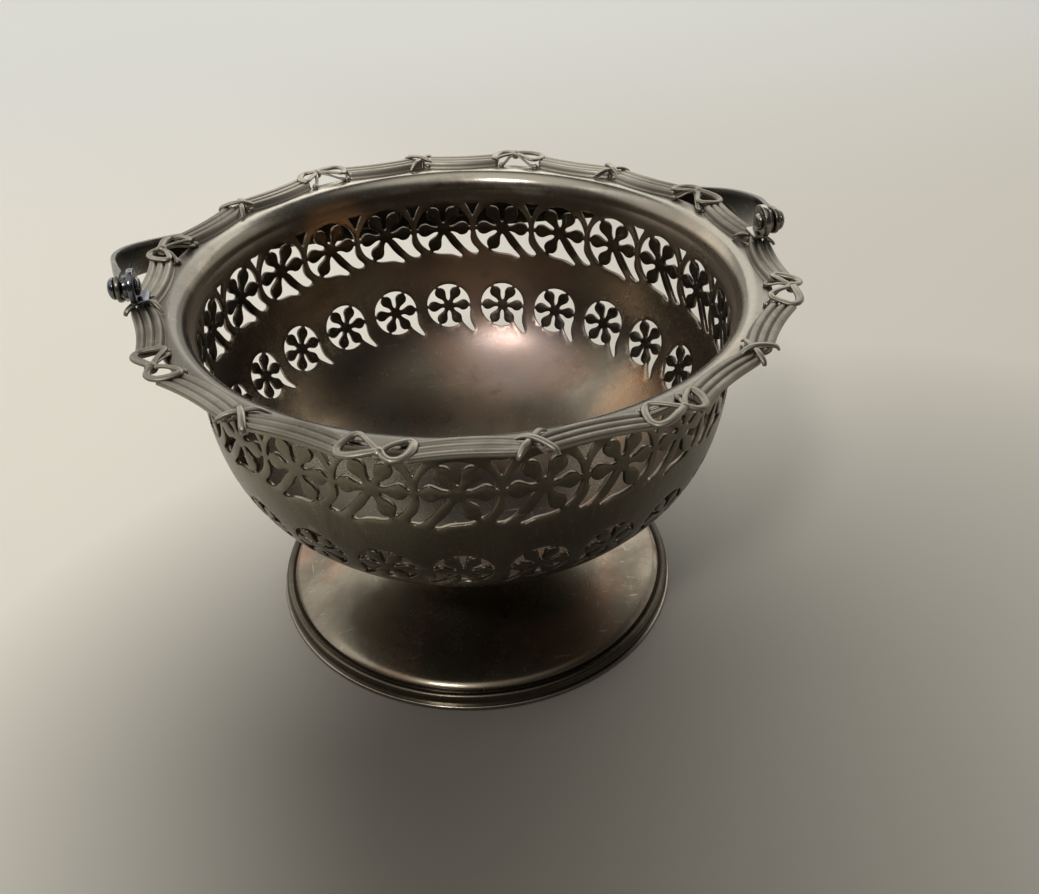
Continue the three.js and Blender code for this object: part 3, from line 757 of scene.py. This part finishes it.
border = {
    "repeats": 8, "inner": 71.3, "reedWidth": 1.97, "reedHeight": 1.8, "grooveHeight": 0.95, "reedPower": 2.3,
    "outerShare": 0.75, "flare": 1.5, "dip": 2.0, "bowLength": 7.3, "underBow": 1.0, "runSteps": 26,
    "reedSteps": 9, "slantShift": 0.4, "slantLimit": 1.15, "slantStart": 0.0005, "slantReach": 0.034,
    "slantPower": 0.9, "squeeze": 0.1, "squeezeRun": 0.25, "ribbonFlatness": 0.6, "ribbonSteps": 5,
}
borderMiddle = border["inner"] + 1.5 * border["reedWidth"]
crossStep = fullTurn / border["repeats"]
bowAngle = crossStep / 2
runAngle = bowAngle - (border["bowLength"] - border["underBow"]) / borderMiddle

# Feet of the reeds' section: mm from the edge of the outer reed, and height as a share of the groove's
innerFoot = [(-0.7, 0.0), (-0.35, 0.12), (-0.1, 0.5)]
outerFoot = [(-0.25, 0.45), (-1.1, 0.0)]


def reedRadius(angle):
    share = abs(angle) / runAngle
    return borderMiddle + border["flare"] - border["dip"] * (1 - (1 - 2 * share) ** 2)


# Across the reeds: sideways from the middle line, and height
def reedSection():
    width, steps, power = border["reedWidth"], border["reedSteps"], border["reedPower"]
    low, crown = border["grooveHeight"], border["reedHeight"]
    half = 1.5 * width
    line = []
    for reed in range(3):
        for i in range(steps + (reed == 2)):
            share = i / steps
            rise = max(1 - abs(2 * share - 1) ** power, 0) ** (1 / power)
            height = low + (crown - low) * rise
            within = 0 < reed + share < 3
            line.append(((reed + share - 1.5) * width, height if within else border["outerShare"] * height))
    return ([(-half + x, share * low) for x, share in innerFoot] + line
            + [(half + x, share * low) for x, share in outerFoot])


# Reeds from a cross to the next bow: they end on a slant under the ribbon of the cross
def reedRun(side):
    section = reedSection()
    steps = border["runSteps"]
    half = 1.5 * border["reedWidth"]
    vertices, faces = [], []
    for i in range(steps + 1):
        t = i / steps
        for across, height in section:
            outer = min(max(across + border["slantShift"], 0) / half, border["slantLimit"])
            start = border["slantStart"] + border["slantReach"] * outer ** border["slantPower"]
            angle = start + (runAngle - start) * t
            squeeze = 1 - border["squeeze"] * (1 - min(t / border["squeezeRun"], 1)) ** 2
            radius = reedRadius(angle) + across * squeeze
            x, y = polar(radius, angle)
            vertices.append((x, side * y, rimHeight + height))
    count = len(section)
    for i in range(steps):
        for j in range(count):
            k = (j + 1) % count
            quad = [i * count + j, i * count + k, (i + 1) * count + k, (i + 1) * count + j]
            faces.append(quad if side > 0 else quad[::-1])
    first = list(range(count))
    last = [steps * count + j for j in range(count)]
    faces.append(first[::-1] if side > 0 else first)
    faces.append(last if side > 0 else last[::-1])
    return vertices, faces


# Ribbon lines: mm along the border, radius, height over the flange, half width
bowRibbons = [
    [(2.2, 76.8, 2.2, 0.75), (3.3, 75.5, 2.4, 0.65), (4.8, 74.3, 2.4, 0.65), (6.2, 73.4, 2.2, 0.75),
     (7.2, 73.8, 2.0, 0.95), (7.4, 75.5, 1.9, 1.05), (6.9, 77.4, 1.8, 1.0), (5.9, 78.8, 1.8, 0.9),
     (4.4, 79.3, 1.9, 0.85), (3.0, 78.7, 2.1, 0.8), (2.0, 77.6, 2.4, 0.8)],
    [(1.1, 76.8, 2.2, 0.8), (-0.7, 75.2, 2.5, 0.65), (-2.4, 73.5, 2.5, 0.65), (-3.7, 72.7, 2.3, 0.75),
     (-5.0, 73.4, 2.1, 0.85), (-6.1, 75.5, 1.9, 0.85), (-6.5, 77.4, 1.7, 0.85), (-5.7, 78.8, 1.7, 0.9),
     (-3.7, 79.1, 1.9, 1.0), (-1.1, 78.4, 2.2, 1.0), (1.2, 77.6, 2.4, 0.9)],
    [(2.2, 76.6, 2.2, 0.6), (3.0, 74.6, 1.9, 0.5), (3.9, 73.0, 1.0, 0.5), (4.7, 72.2, 0.5, 0.75),
     (5.1, 72.1, 0.4, 0.4)],
    [(1.0, 76.6, 2.2, 0.6), (-0.8, 74.4, 1.9, 0.5), (-2.9, 72.9, 1.0, 0.5), (-4.4, 72.2, 0.5, 0.75),
     (-5.0, 72.1, 0.4, 0.4)],
]
crossRibbons = [
    [(-5.0, 72.6, 0.5, 0.3), (-3.5, 72.7, 1.0, 0.6), (-1.8, 73.3, 2.1, 0.75), (-0.2, 74.4, 2.7, 0.8),
     (1.5, 75.8, 2.6, 0.8), (2.9, 77.2, 2.2, 0.8), (3.9, 78.2, 1.6, 0.75), (4.3, 78.6, 0.8, 0.5)],
    [(-3.5, 78.6, 0.7, 0.4), (-3.0, 78.1, 1.4, 0.65), (-2.1, 76.9, 2.1, 0.75), (-1.0, 75.6, 2.4, 0.7),
     (0.2, 74.2, 2.3, 0.65), (1.2, 72.9, 2.3, 0.65), (2.1, 71.9, 2.1, 0.65), (3.1, 71.0, 1.3, 0.55),
     (3.9, 70.4, 0.5, 0.3)],
]

# Knot and ribbon ends: angle of the bow or cross, mm along from it, radius, height over the flange, size
knobs = [
    (bowAngle, 1.6, 77.4, 1.8, (1.5, 1.35, 1.3)),
    (bowAngle, -5.3, 72.0, 0.5, (0.85, 0.85, 0.75)), (bowAngle, 4.9, 72.0, 0.5, (0.85, 0.85, 0.75)),
    (0, -1.7, 72.5, 0.5, (0.7, 0.8, 0.7)), (0, 4.0, 72.8, 0.5, (0.7, 0.8, 0.7)),
]


def borderPlace(at, along, radius, height):
    return (*polar(radius, at + along / radius), rimHeight + height)


def ribbonCurve():
    lines = []
    for at, ribbons in ((bowAngle, bowRibbons), (0, crossRibbons)):
        for ribbon in ribbons:
            points = [(*borderPlace(at, *place), half) for *place, half in ribbon]
            lines.append(smoothLine(points, border["ribbonSteps"]))
    return lineObject("ribbons", lines)


def ellipsoid(centre, size, turn, segments=16, rows=8):
    half = [pi * (i / rows - 0.5) for i in range(rows + 1)]
    vertices, faces = turnedMesh([polar(1, a) for a in half], segments)
    made = []
    for x, y, z in vertices:
        x, y, z = x * size[0], y * size[1], z * size[2]
        made.append((centre[0] + x * cos(turn) - y * sin(turn),
                     centre[1] + x * sin(turn) + y * cos(turn), centre[2] + z))
    return made, faces


def borderSolids():
    parts = [reedRun(1), reedRun(-1)]
    for at, along, radius, height, size in knobs:
        parts.append(ellipsoid(borderPlace(at, along, radius, height), size, at + along / radius))
    return joined(parts)


def borderTree():
    graph, given = geometryTree("reed and ribbon border", [
        ("Repeats", "int"), ("Ribbon Flatness", "float"), ("Ribbons", "object"), ("Metal", "material")])
    curves = graph.node("GeometryNodeObjectInfo", {"Object": given["Ribbons"]}).outputs["Geometry"]
    circle = graph.out("GeometryNodeCurvePrimitiveCircle", {"Resolution": 10, "Radius": 1.0})
    flat = graph.combine(1.0, given["Ribbon Flatness"], 1.0)
    section = graph.out("GeometryNodeTransform", {"Geometry": circle, "Scale": flat})
    sweep = {"Curve": curves, "Profile Curve": section, "Fill Caps": True}
    swept = graph.node("GeometryNodeCurveToMesh", sweep)
    if "Scale" in swept.inputs:
        graph.tree.links.new(graph.out("GeometryNodeInputRadius"), swept.inputs["Scale"])
    both = graph.node("GeometryNodeJoinGeometry")
    graph.tree.links.new(given["Geometry"], both.inputs[0])
    graph.tree.links.new(swept.outputs[0], both.inputs[0])
    spots = graph.out("GeometryNodeMeshLine", {"Count": given["Repeats"], "Offset": (0, 0, 0)})
    index = graph.out("GeometryNodeInputIndex")
    turn = graph.math("DIVIDE", graph.times(index, fullTurn), given["Repeats"])
    euler = graph.out("FunctionNodeEulerToRotation", {0: graph.combine(0.0, 0.0, turn)})
    inputs = {"Points": spots, "Instance": both.outputs[0], "Rotation": euler}
    return finishTree(graph, graph.out("GeometryNodeInstanceOnPoints", inputs), given["Metal"])


borderPiece = meshObject("ribbon_border", *borderSolids())
ribbons = ribbonCurve()
bake(borderPiece, borderTree(), {
    "Repeats": border["repeats"], "Ribbon Flatness": border["ribbonFlatness"], "Ribbons": ribbons,
    "Metal": rimMetal})
bpy.data.objects.remove(ribbons)
print("border made:", len(borderPiece.data.polygons), "faces")


# Foot: a spun trumpet with a thin edge, and a half-round bead on the edge

foot = {"radius": 55.4, "wall": 1.0, "edge": 1.2, "dome": 52.1, "neck": 19.2, "soft": 0.3, "bevel": 0.1,
        "lineSteps": 4, "segments": 160}
bead = {"inner": 52.25, "half": 1.33, "rise": 3.1, "power": 0.5, "innerRise": 2.3, "innerFrom": 2,
        "steps": 14}

# Radius and height up the trumpet, and radius and depth below the bowl at its seat
trumpet = [(foot["dome"], 4.6), (51.4, 5.2), (50.2, 5.75), (46, 7.0), (42, 8.1), (38, 9.35), (34, 10.85),
           (30, 12.8), (27, 14.7), (24, 17.2), (22, 19.5), (20.5, 22.2), (19.6, 24.4), (foot["neck"], 26.2)]
seat = [(19.5, 1.2), (20.2, 0.9), (21.2, 0.9), (21.4, 0.7), (21.4, 0)]


def offsetOpen(line, distance):
    made = []
    for i, point in enumerate(line):
        before, after = Vector(line[max(i - 1, 0)]), Vector(line[min(i + 1, len(line) - 1)])
        along = (after - before).normalized()
        made.append((point[0] - along.y * distance, point[1] + along.x * distance))
    return made


def footLine():
    wide, wall, edge, dome = foot["radius"], foot["wall"], foot["edge"], foot["dome"]
    soft, bevel, top = foot["soft"], foot["bevel"], bowl["footHeight"]
    outer = smoothLine(trumpet, foot["lineSteps"])
    line = [(dome - wall, 0), (wide - soft, 0), (wide, soft), (wide, edge - soft),
            (wide - bevel, edge - bevel), (wide - soft, edge), (dome + soft, edge), (dome, edge + soft)]
    line += outer + [(radius, top - depth) for radius, depth in seat]
    return line + [(foot["neck"] - wall, top)] + offsetOpen(outer, wall)[::-1]


def beadLine():
    line = []
    for i in range(bead["steps"] + 1):
        turn = pi * i / bead["steps"]
        rise = bead["rise"] * max(sin(turn), 0) ** bead["power"]
        rise = max(rise, bead["innerRise"] * (turn > bead["innerFrom"]))
        line.append((bead["inner"] + bead["half"] * (1 + cos(turn)), foot["edge"] + rise))
    return line + [(bead["inner"], foot["edge"])]


footPiece = meshObject("spun_foot", *turnedMesh(footLine(), foot["segments"]))
paint(footPiece, footMetal)
beadPiece = meshObject("foot_bead", *turnedMesh(beadLine(), foot["segments"]))
paint(beadPiece, beadMetal)
print("foot made")


# Hinges: an upright eye with a soldered tab, a washer and a domed rivet on each side

hinge = {
    "height": 99.0, "lugInner": 75.36, "lugThick": 1.5, "lugEdge": 0.25, "eye": 4.15, "bore": 1.7,
    "washer": 2.8, "washerThick": 1.3, "washerEdge": 0.35, "play": 0.3, "strapThick": 1.2, "seatRise": 2.4,
    "shank": 1.5, "head": 2.6, "headHeight": 1.7, "headEdge": 0.15, "tabLength": 6.0, "tabDepth": 3.9,
    "tabThick": 1.0, "tabCorners": {0: 0.8, 1: 0.8, 2: 0.4, 3: 0.4}, "eyePoints": 36, "borePoints": 28,
    "domeSteps": 8, "segments": 40,
}
lugOuter = hinge["lugInner"] + hinge["lugThick"]
strapInner = lugOuter + hinge["washerThick"] + hinge["play"]
lugSeat = rimHeight + hinge["seatRise"]

# The rivet's riveted end, inside the eye: radius, and length from the eye's inner side
rivetEnd = [(0, -1.0), (1.0, -1.0), (1.7, -0.8), (2.1, -0.35), (2.1, 0)]


# Stands a mesh that is drawn about its own axis on the hinge's axis, on one side
def onHinge(mesh, start, side):
    vertices, faces = mesh
    return [(side * (start + z), side * x, hinge["height"] + y) for x, y, z in vertices], faces


def arcLine(radius, count, start, end):
    turns = [start + (end - start) * i / (count - 1) for i in range(count)]
    return [polar(radius, turn) for turn in turns]


def circleLoop(radius, count):
    return arcLine(radius, count + 1, 0, fullTurn)[:-1]


def lugMesh():
    lean = asin((hinge["height"] - lugSeat) / hinge["eye"])
    outline = arcLine(hinge["eye"], hinge["eyePoints"], -lean, pi + lean)
    bore = circleLoop(hinge["bore"], hinge["borePoints"])
    vertices, faces = plateMesh(outline, [bore], [], hinge["lugThick"], hinge["lugEdge"])
    return [(x, y, z + hinge["lugThick"]) for x, y, z in vertices], faces


def tabMesh():
    half, deep, high = hinge["tabLength"] / 2, hinge["tabDepth"], hinge["tabThick"]
    outline = rounded([(-half, 0), (half, 0), (half, deep), (-half, deep)], hinge["tabCorners"])
    vertices, faces = plateMesh(outline, [], [], high, hinge["lugEdge"])
    base = lugSeat - hinge["height"]
    laid = [(x, base + high + z, hinge["lugThick"] - deep + y) for x, y, z in vertices]
    return laid, [face[::-1] for face in faces]


def rivetMesh():
    shank = strapInner + hinge["strapThick"] + hinge["play"] - hinge["lugInner"]
    head, rise, edge = hinge["head"], hinge["headHeight"], hinge["headEdge"]
    line = rivetEnd + [(hinge["shank"], 0), (hinge["shank"], shank)]
    line += [(head - edge, shank), (head, shank + edge)]
    for i in range(hinge["domeSteps"]):
        turn = pi / 2 * i / hinge["domeSteps"]
        line.append((head * cos(turn), shank + 2 * edge + (rise - 2 * edge) * sin(turn)))
    return turnedMesh(line + [(0, shank + rise)], hinge["segments"])


def washerMesh():
    bore, wide, thick, edge = hinge["bore"], hinge["washer"], hinge["washerThick"], hinge["washerEdge"]
    line = rounded([(bore, 0), (wide, 0), (wide, thick), (bore, thick)], {1: edge, 2: edge})
    return turnedMesh(line, hinge["segments"])


hingePieces = []
# Both hinges are the same hardware; the right one is made lighter as painted light
for side, word, metal in ((1, "right", litHingeMetal), (-1, "left", hingeMetal)):
    eye = joined([onHinge(lugMesh(), hinge["lugInner"], side), onHinge(tabMesh(), hinge["lugInner"], side)])
    washer = onHinge(washerMesh(), lugOuter, side)
    rivet = onHinge(rivetMesh(), hinge["lugInner"], side)
    made = (("eye", "silver_plate", "lug_", eye), ("washer", "dark_rivet", "washer_", washer),
            ("rivet", "dark_rivet", "rivet_", rivet))
    for name, slot, node, mesh in made:
        piece = meshObject("hinge_" + name + "_" + word, *mesh)
        paint(piece, metal)
        hingePieces.append((piece, slot, node + word))
print("hinges made")


# Handle: a flat strap, drawn straight and then bent along its arch

handle = {
    "width": 8.5, "eye": 3.3, "taper": 14.0, "straight": 3.4, "bulge": 84.4, "bulgeReach": 36.0,
    "reach": 81.8, "sidePower": 1.7, "archPower": 2.4, "fold": radians(17), "rounding": 0.3, "overrun": 4.0,
    "sideSteps": 24, "archSteps": 64, "eyePoints": 22, "spacing": 2.0, "taperStart": 1.0, "taperSteps": 6,
    "rows": (-0.5, 0.0, 0.5), "eyeClear": 3,
}
eyeLine = strapInner + hinge["strapThick"] / 2


def strapPath():
    near, far, wide = handle["straight"], handle["bulgeReach"], handle["bulge"]
    half = [(eyeLine, -handle["eye"] - handle["overrun"]), (eyeLine, 0.0)]
    for i in range(handle["sideSteps"] + 1):
        reach = near + (far - near) * i / handle["sideSteps"]
        drawn = ((far - reach) / (far - near)) ** handle["sidePower"]
        half.append((wide + (eyeLine - wide) * drawn, reach))
    power = 2 / handle["archPower"]
    for i in range(1, handle["archSteps"]):
        turn = pi / 2 * i / handle["archSteps"]
        along = sin(turn) ** power
        half.append((wide * cos(turn) ** power, far + (handle["reach"] - far) * along))
    return half + [(0.0, handle["reach"])] + [(-x, y) for x, y in reversed(half)]


def pathLength(line):
    return sum(dist(a, b) for a, b in zip(line, line[1:]))


def strapSheet(length):
    start = handle["eye"] + handle["overrun"]  # the path runs on past each eye
    half, taper = handle["width"] / 2, handle["taper"]
    lean = asin((half - handle["eye"]) / taper)
    eye = arcLine(handle["eye"], handle["eyePoints"], pi / 2 + lean, 3 * pi / 2 - lean)
    left = [(start + x, y) for x, y in eye]
    count = int((length - 2 * start - 2 * taper) / handle["spacing"])
    straight = [start + taper + i * handle["spacing"] for i in range(count)] + [length - start - taper]
    first, steps = handle["taperStart"], handle["taperSteps"]
    rise = [start + first + (taper - first) * i / steps for i in range(1, steps)]

    def fromEye(x):
        return min(x - start, length - start - x)

    def widthAt(x):
        return handle["eye"] + (half - handle["eye"]) * min(max(fromEye(x) / taper, 0), 1)

    along = rise + straight + [length - x for x in reversed(rise)]
    lower = [(x, -widthAt(x)) for x in along]
    right = [(length - x, -y) for x, y in left]
    upper = [(x, widthAt(x)) for x in reversed(along)]
    bore = circleLoop(hinge["bore"], hinge["borePoints"])
    holes = [[(middle + x, y) for x, y in bore] for middle in (start, length - start)]
    clear = [x for x in along if fromEye(x) > handle["eyeClear"]]
    inner = [(x, widthAt(x) * share) for x in clear for share in handle["rows"]]
    return plateMesh(left + lower + right + upper, holes, inner, hinge["strapThick"], handle["rounding"])


def strapTree():
    graph, given = geometryTree("bent strap", [
        ("Thickness", "float"), ("Fold", "float"), ("Pin Height", "float"), ("Path", "object"),
        ("Metal", "material")])
    along, up, depth = graph.split(graph.out("GeometryNodeInputPosition"))
    (px, py, _), (tx, ty, _) = graph.along(given["Path"], along)
    out = graph.add(depth, graph.times(given["Thickness"], 0.5))
    x = graph.add(px, graph.times(ty, out))
    y = graph.less(py, graph.times(tx, out))
    place = {"Geometry": given["Geometry"], "Position": graph.combine(x, y, up)}
    turn = graph.combine(graph.times(given["Fold"], -1.0), 0.0, 0.0)
    laid = graph.out("GeometryNodeTransform", {
        "Geometry": graph.out("GeometryNodeSetPosition", place),
        "Translation": graph.combine(0.0, 0.0, given["Pin Height"]),
        "Rotation": graph.out("FunctionNodeEulerToRotation", {0: turn})})
    return finishTree(graph, laid, given["Metal"])


path = strapPath()
handlePiece = meshObject("strap_handle", *strapSheet(pathLength(path)))
pathLine = lineObject("strap path", [[(x, y, 0, 1) for x, y in path]])
bake(handlePiece, strapTree(), {
    "Thickness": hinge["strapThick"] * mm, "Fold": handle["fold"], "Pin Height": hinge["height"] * mm,
    "Path": pathLine, "Metal": handleMetal})
bpy.data.objects.remove(pathLine)
print("handle made:", len(handlePiece.data.polygons), "faces")


# Each piece rides on its CAD body and stands for its CAD nodes

def adopt(obj, body, slot, *nodes):
    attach(obj, body)
    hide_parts(*nodes)


adopt(bowlPiece, "basket", "tarnished_plate", "bowl")
adopt(borderPiece, "basket", "silver_plate", *["rim_border_%d" % (i + 1) for i in range(border["repeats"])])
adopt(footPiece, "basket", "tarnished_plate", "foot")
adopt(beadPiece, "basket", "silver_plate", "foot_wire")
for piece, slot, node in hingePieces:
    adopt(piece, "basket", slot, node)
adopt(handlePiece, "handle", "silver_plate", "handle")


# Floor, light and camera. Places are in metres from here on

# The near colour is the painted shadow's, and the right colour the painted shade's
floor = {
    "near": srgb(65, 60, 51), "plain": srgb(229, 224, 213), "right": srgb(20, 20, 16),
    "far": srgb(216, 216, 213), "half": 3, "roughness": 0.7, "shadeMiddle": (-0.0384, -0.0636),
    "shadeBack": 1.22, "shadeFront": 0.3, "shadeSoft": 0.0003, "shadeLean": 0.485, "shadeReach": 0.18,
    "rightLean": 0.4, "rightRun": (0.08, 0.218, 0.0, 0.163), "farRun": (0.15, 0.6),
}


# A plain pale floor with a painted shadow, deepest in tone round a place in front of the basket, and painted
# shade deepening on the right
def shadowPaintedFloor():
    material, graph, shader = newMaterial("pale floor")
    x, y, _ = graph.split(graph.node("ShaderNodeTexCoord").outputs["Object"])
    aside, onward = (graph.less(value, middle) for value, middle in zip((x, y), floor["shadeMiddle"]))
    back = graph.times(graph.math("MAXIMUM", onward, 0.0), floor["shadeBack"])
    front = graph.times(graph.math("MINIMUM", onward, 0.0), floor["shadeFront"])
    away = graph.vectorMath("LENGTH", graph.combine(aside, back, front))
    away = graph.math("SQRT", graph.add(graph.math("POWER", away, 2.0), floor["shadeSoft"]))
    away = graph.less(away, graph.times(aside, floor["shadeLean"]))
    clear = graph.ramp(away, 0.0, floor["shadeReach"], kind="LINEAR")
    # The painted shadow in front of the basket
    colour = graph.mix(clear, floor["near"], floor["plain"])
    towardsRightShade = graph.add(x, graph.times(y, floor["rightLean"]))
    # Painted shade towards the right
    colour = graph.mix(graph.ramp(towardsRightShade, *floor["rightRun"]), colour, floor["right"])
    colour = graph.mix(graph.ramp(y, *floor["farRun"]), colour, floor["far"])
    graph.tree.links.new(colour, shader.inputs["Base Color"])
    shader.inputs["Roughness"].default_value = floor["roughness"]
    return material


half = floor["half"]
corners = [(-half, -half, 0), (half, -half, 0), (half, half, 0), (-half, half, 0)]
floorPiece = meshObject("floor", corners, [[0, 1, 2, 3]], 1)
paint(floorPiece, shadowPaintedFloor())
floorPiece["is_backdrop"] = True

room = {
    "colour": srgb(238, 236, 228), "backWall": 1.05, "lowWall": 0.12, "ceiling": 0.07, "backWallTop": 0.58,
    "lowWallTop": 0.12, "fade": 0.22, "behind": (0.4, 0.9, 0.0), "behindReach": 0.6, "glow": 0.9,
    "glowTowards": (-0.22, -0.2, 0.955), "glowLevels": (0.7, 0.99),
}


# A room with a pale wall that stands higher behind the basket, a dim ceiling and a soft glow round its lamp
def softRoom():
    world = bpy.data.worlds.new("soft room")
    world.use_nodes = True
    graph = Graph(world.node_tree)
    towards = graph.node("ShaderNodeTexCoord").outputs["Generated"]
    behind = graph.ramp(graph.vectorMath("DOT_PRODUCT", towards, room["behind"]), 0.0, room["behindReach"])
    wall = graph.mixValue(behind, room["lowWall"], room["backWall"])
    top = graph.mixValue(behind, room["lowWallTop"], room["backWallTop"])
    over = graph.ramp(graph.less(graph.split(towards)[2], top), 0.0, room["fade"])
    lampward = graph.vectorMath("DOT_PRODUCT", towards, room["glowTowards"])
    glow = graph.times(graph.ramp(lampward, *room["glowLevels"]), room["glow"])
    strength = graph.add(graph.mixValue(over, wall, room["ceiling"]), glow)
    background = world.node_tree.nodes["Background"]
    background.inputs["Color"].default_value = room["colour"]
    world.node_tree.links.new(strength, background.inputs["Strength"])
    bpy.context.scene.world = world


softRoom()

# Lamps: name, place, target, size, power, colour
lamps = [
    ("ceiling lamp", (-0.41, -0.61, 0.95), (0, 0, 0.05), (0.15, 0.15), 3.0, (1.0, 0.96, 0.93)),
    ("left window", (-0.84, 0.59, 0.80), (0, 0.05, 0.0), (1.7, 1.1), 6.5, (1.0, 0.99, 0.97)),
    ("back window", (0.42, 0.98, 0.78), (0, 0, 0), (1.2, 0.8), 4.3, (1.0, 0.99, 0.97)),
]
for name, place, target, size, power, colour in lamps:
    lamp = bpy.data.lights.new(name, "AREA")
    lamp.shape = "RECTANGLE"
    lamp.size, lamp.size_y = size
    lamp.energy = power
    lamp.color = colour
    lampPiece = addObject(name, lamp)
    lampPiece.location = place
    lampPiece.rotation_euler = (Vector(place) - Vector(target)).to_track_quat("Z", "Y").to_euler()
    lampPiece.visible_camera = False
    lampPiece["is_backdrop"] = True

view = {"azimuth": -11.61, "elevation": 35.45, "roll": -0.94, "place": (-34.47, -231.09, 207.70),
        "lens": 36.67, "sensor": 36, "clipStart": 0.01}


def photoCamera():
    a, e, roll = (radians(view[k]) for k in ("azimuth", "elevation", "roll"))
    back = Vector((sin(a) * cos(e), -cos(a) * cos(e), sin(e)))
    right = (-back).cross(Vector((0, 0, 1))).normalized()
    up = right.cross(-back)
    turnedRight = right * cos(roll) + up * sin(roll)
    turnedUp = up * cos(roll) - right * sin(roll)
    camera = addObject("camera", bpy.data.cameras.new("camera"))
    camera.data.lens = view["lens"]
    camera.data.sensor_width = view["sensor"]
    camera.data.clip_start = view["clipStart"]
    turn = Matrix((turnedRight, turnedUp, back)).transposed().to_4x4()
    camera.matrix_world = Matrix.Translation(Vector(view["place"]) * mm) @ turn
    bpy.context.scene.camera = camera


photoCamera()
bpy.context.scene.view_settings.view_transform = "Standard"

low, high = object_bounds()
for label, (lowest, highest) in (("cad", cadBox), ("visual", (low, high))):
    print("size,", label, [round(x, 5) for x in lowest], [round(x, 5) for x in highest])
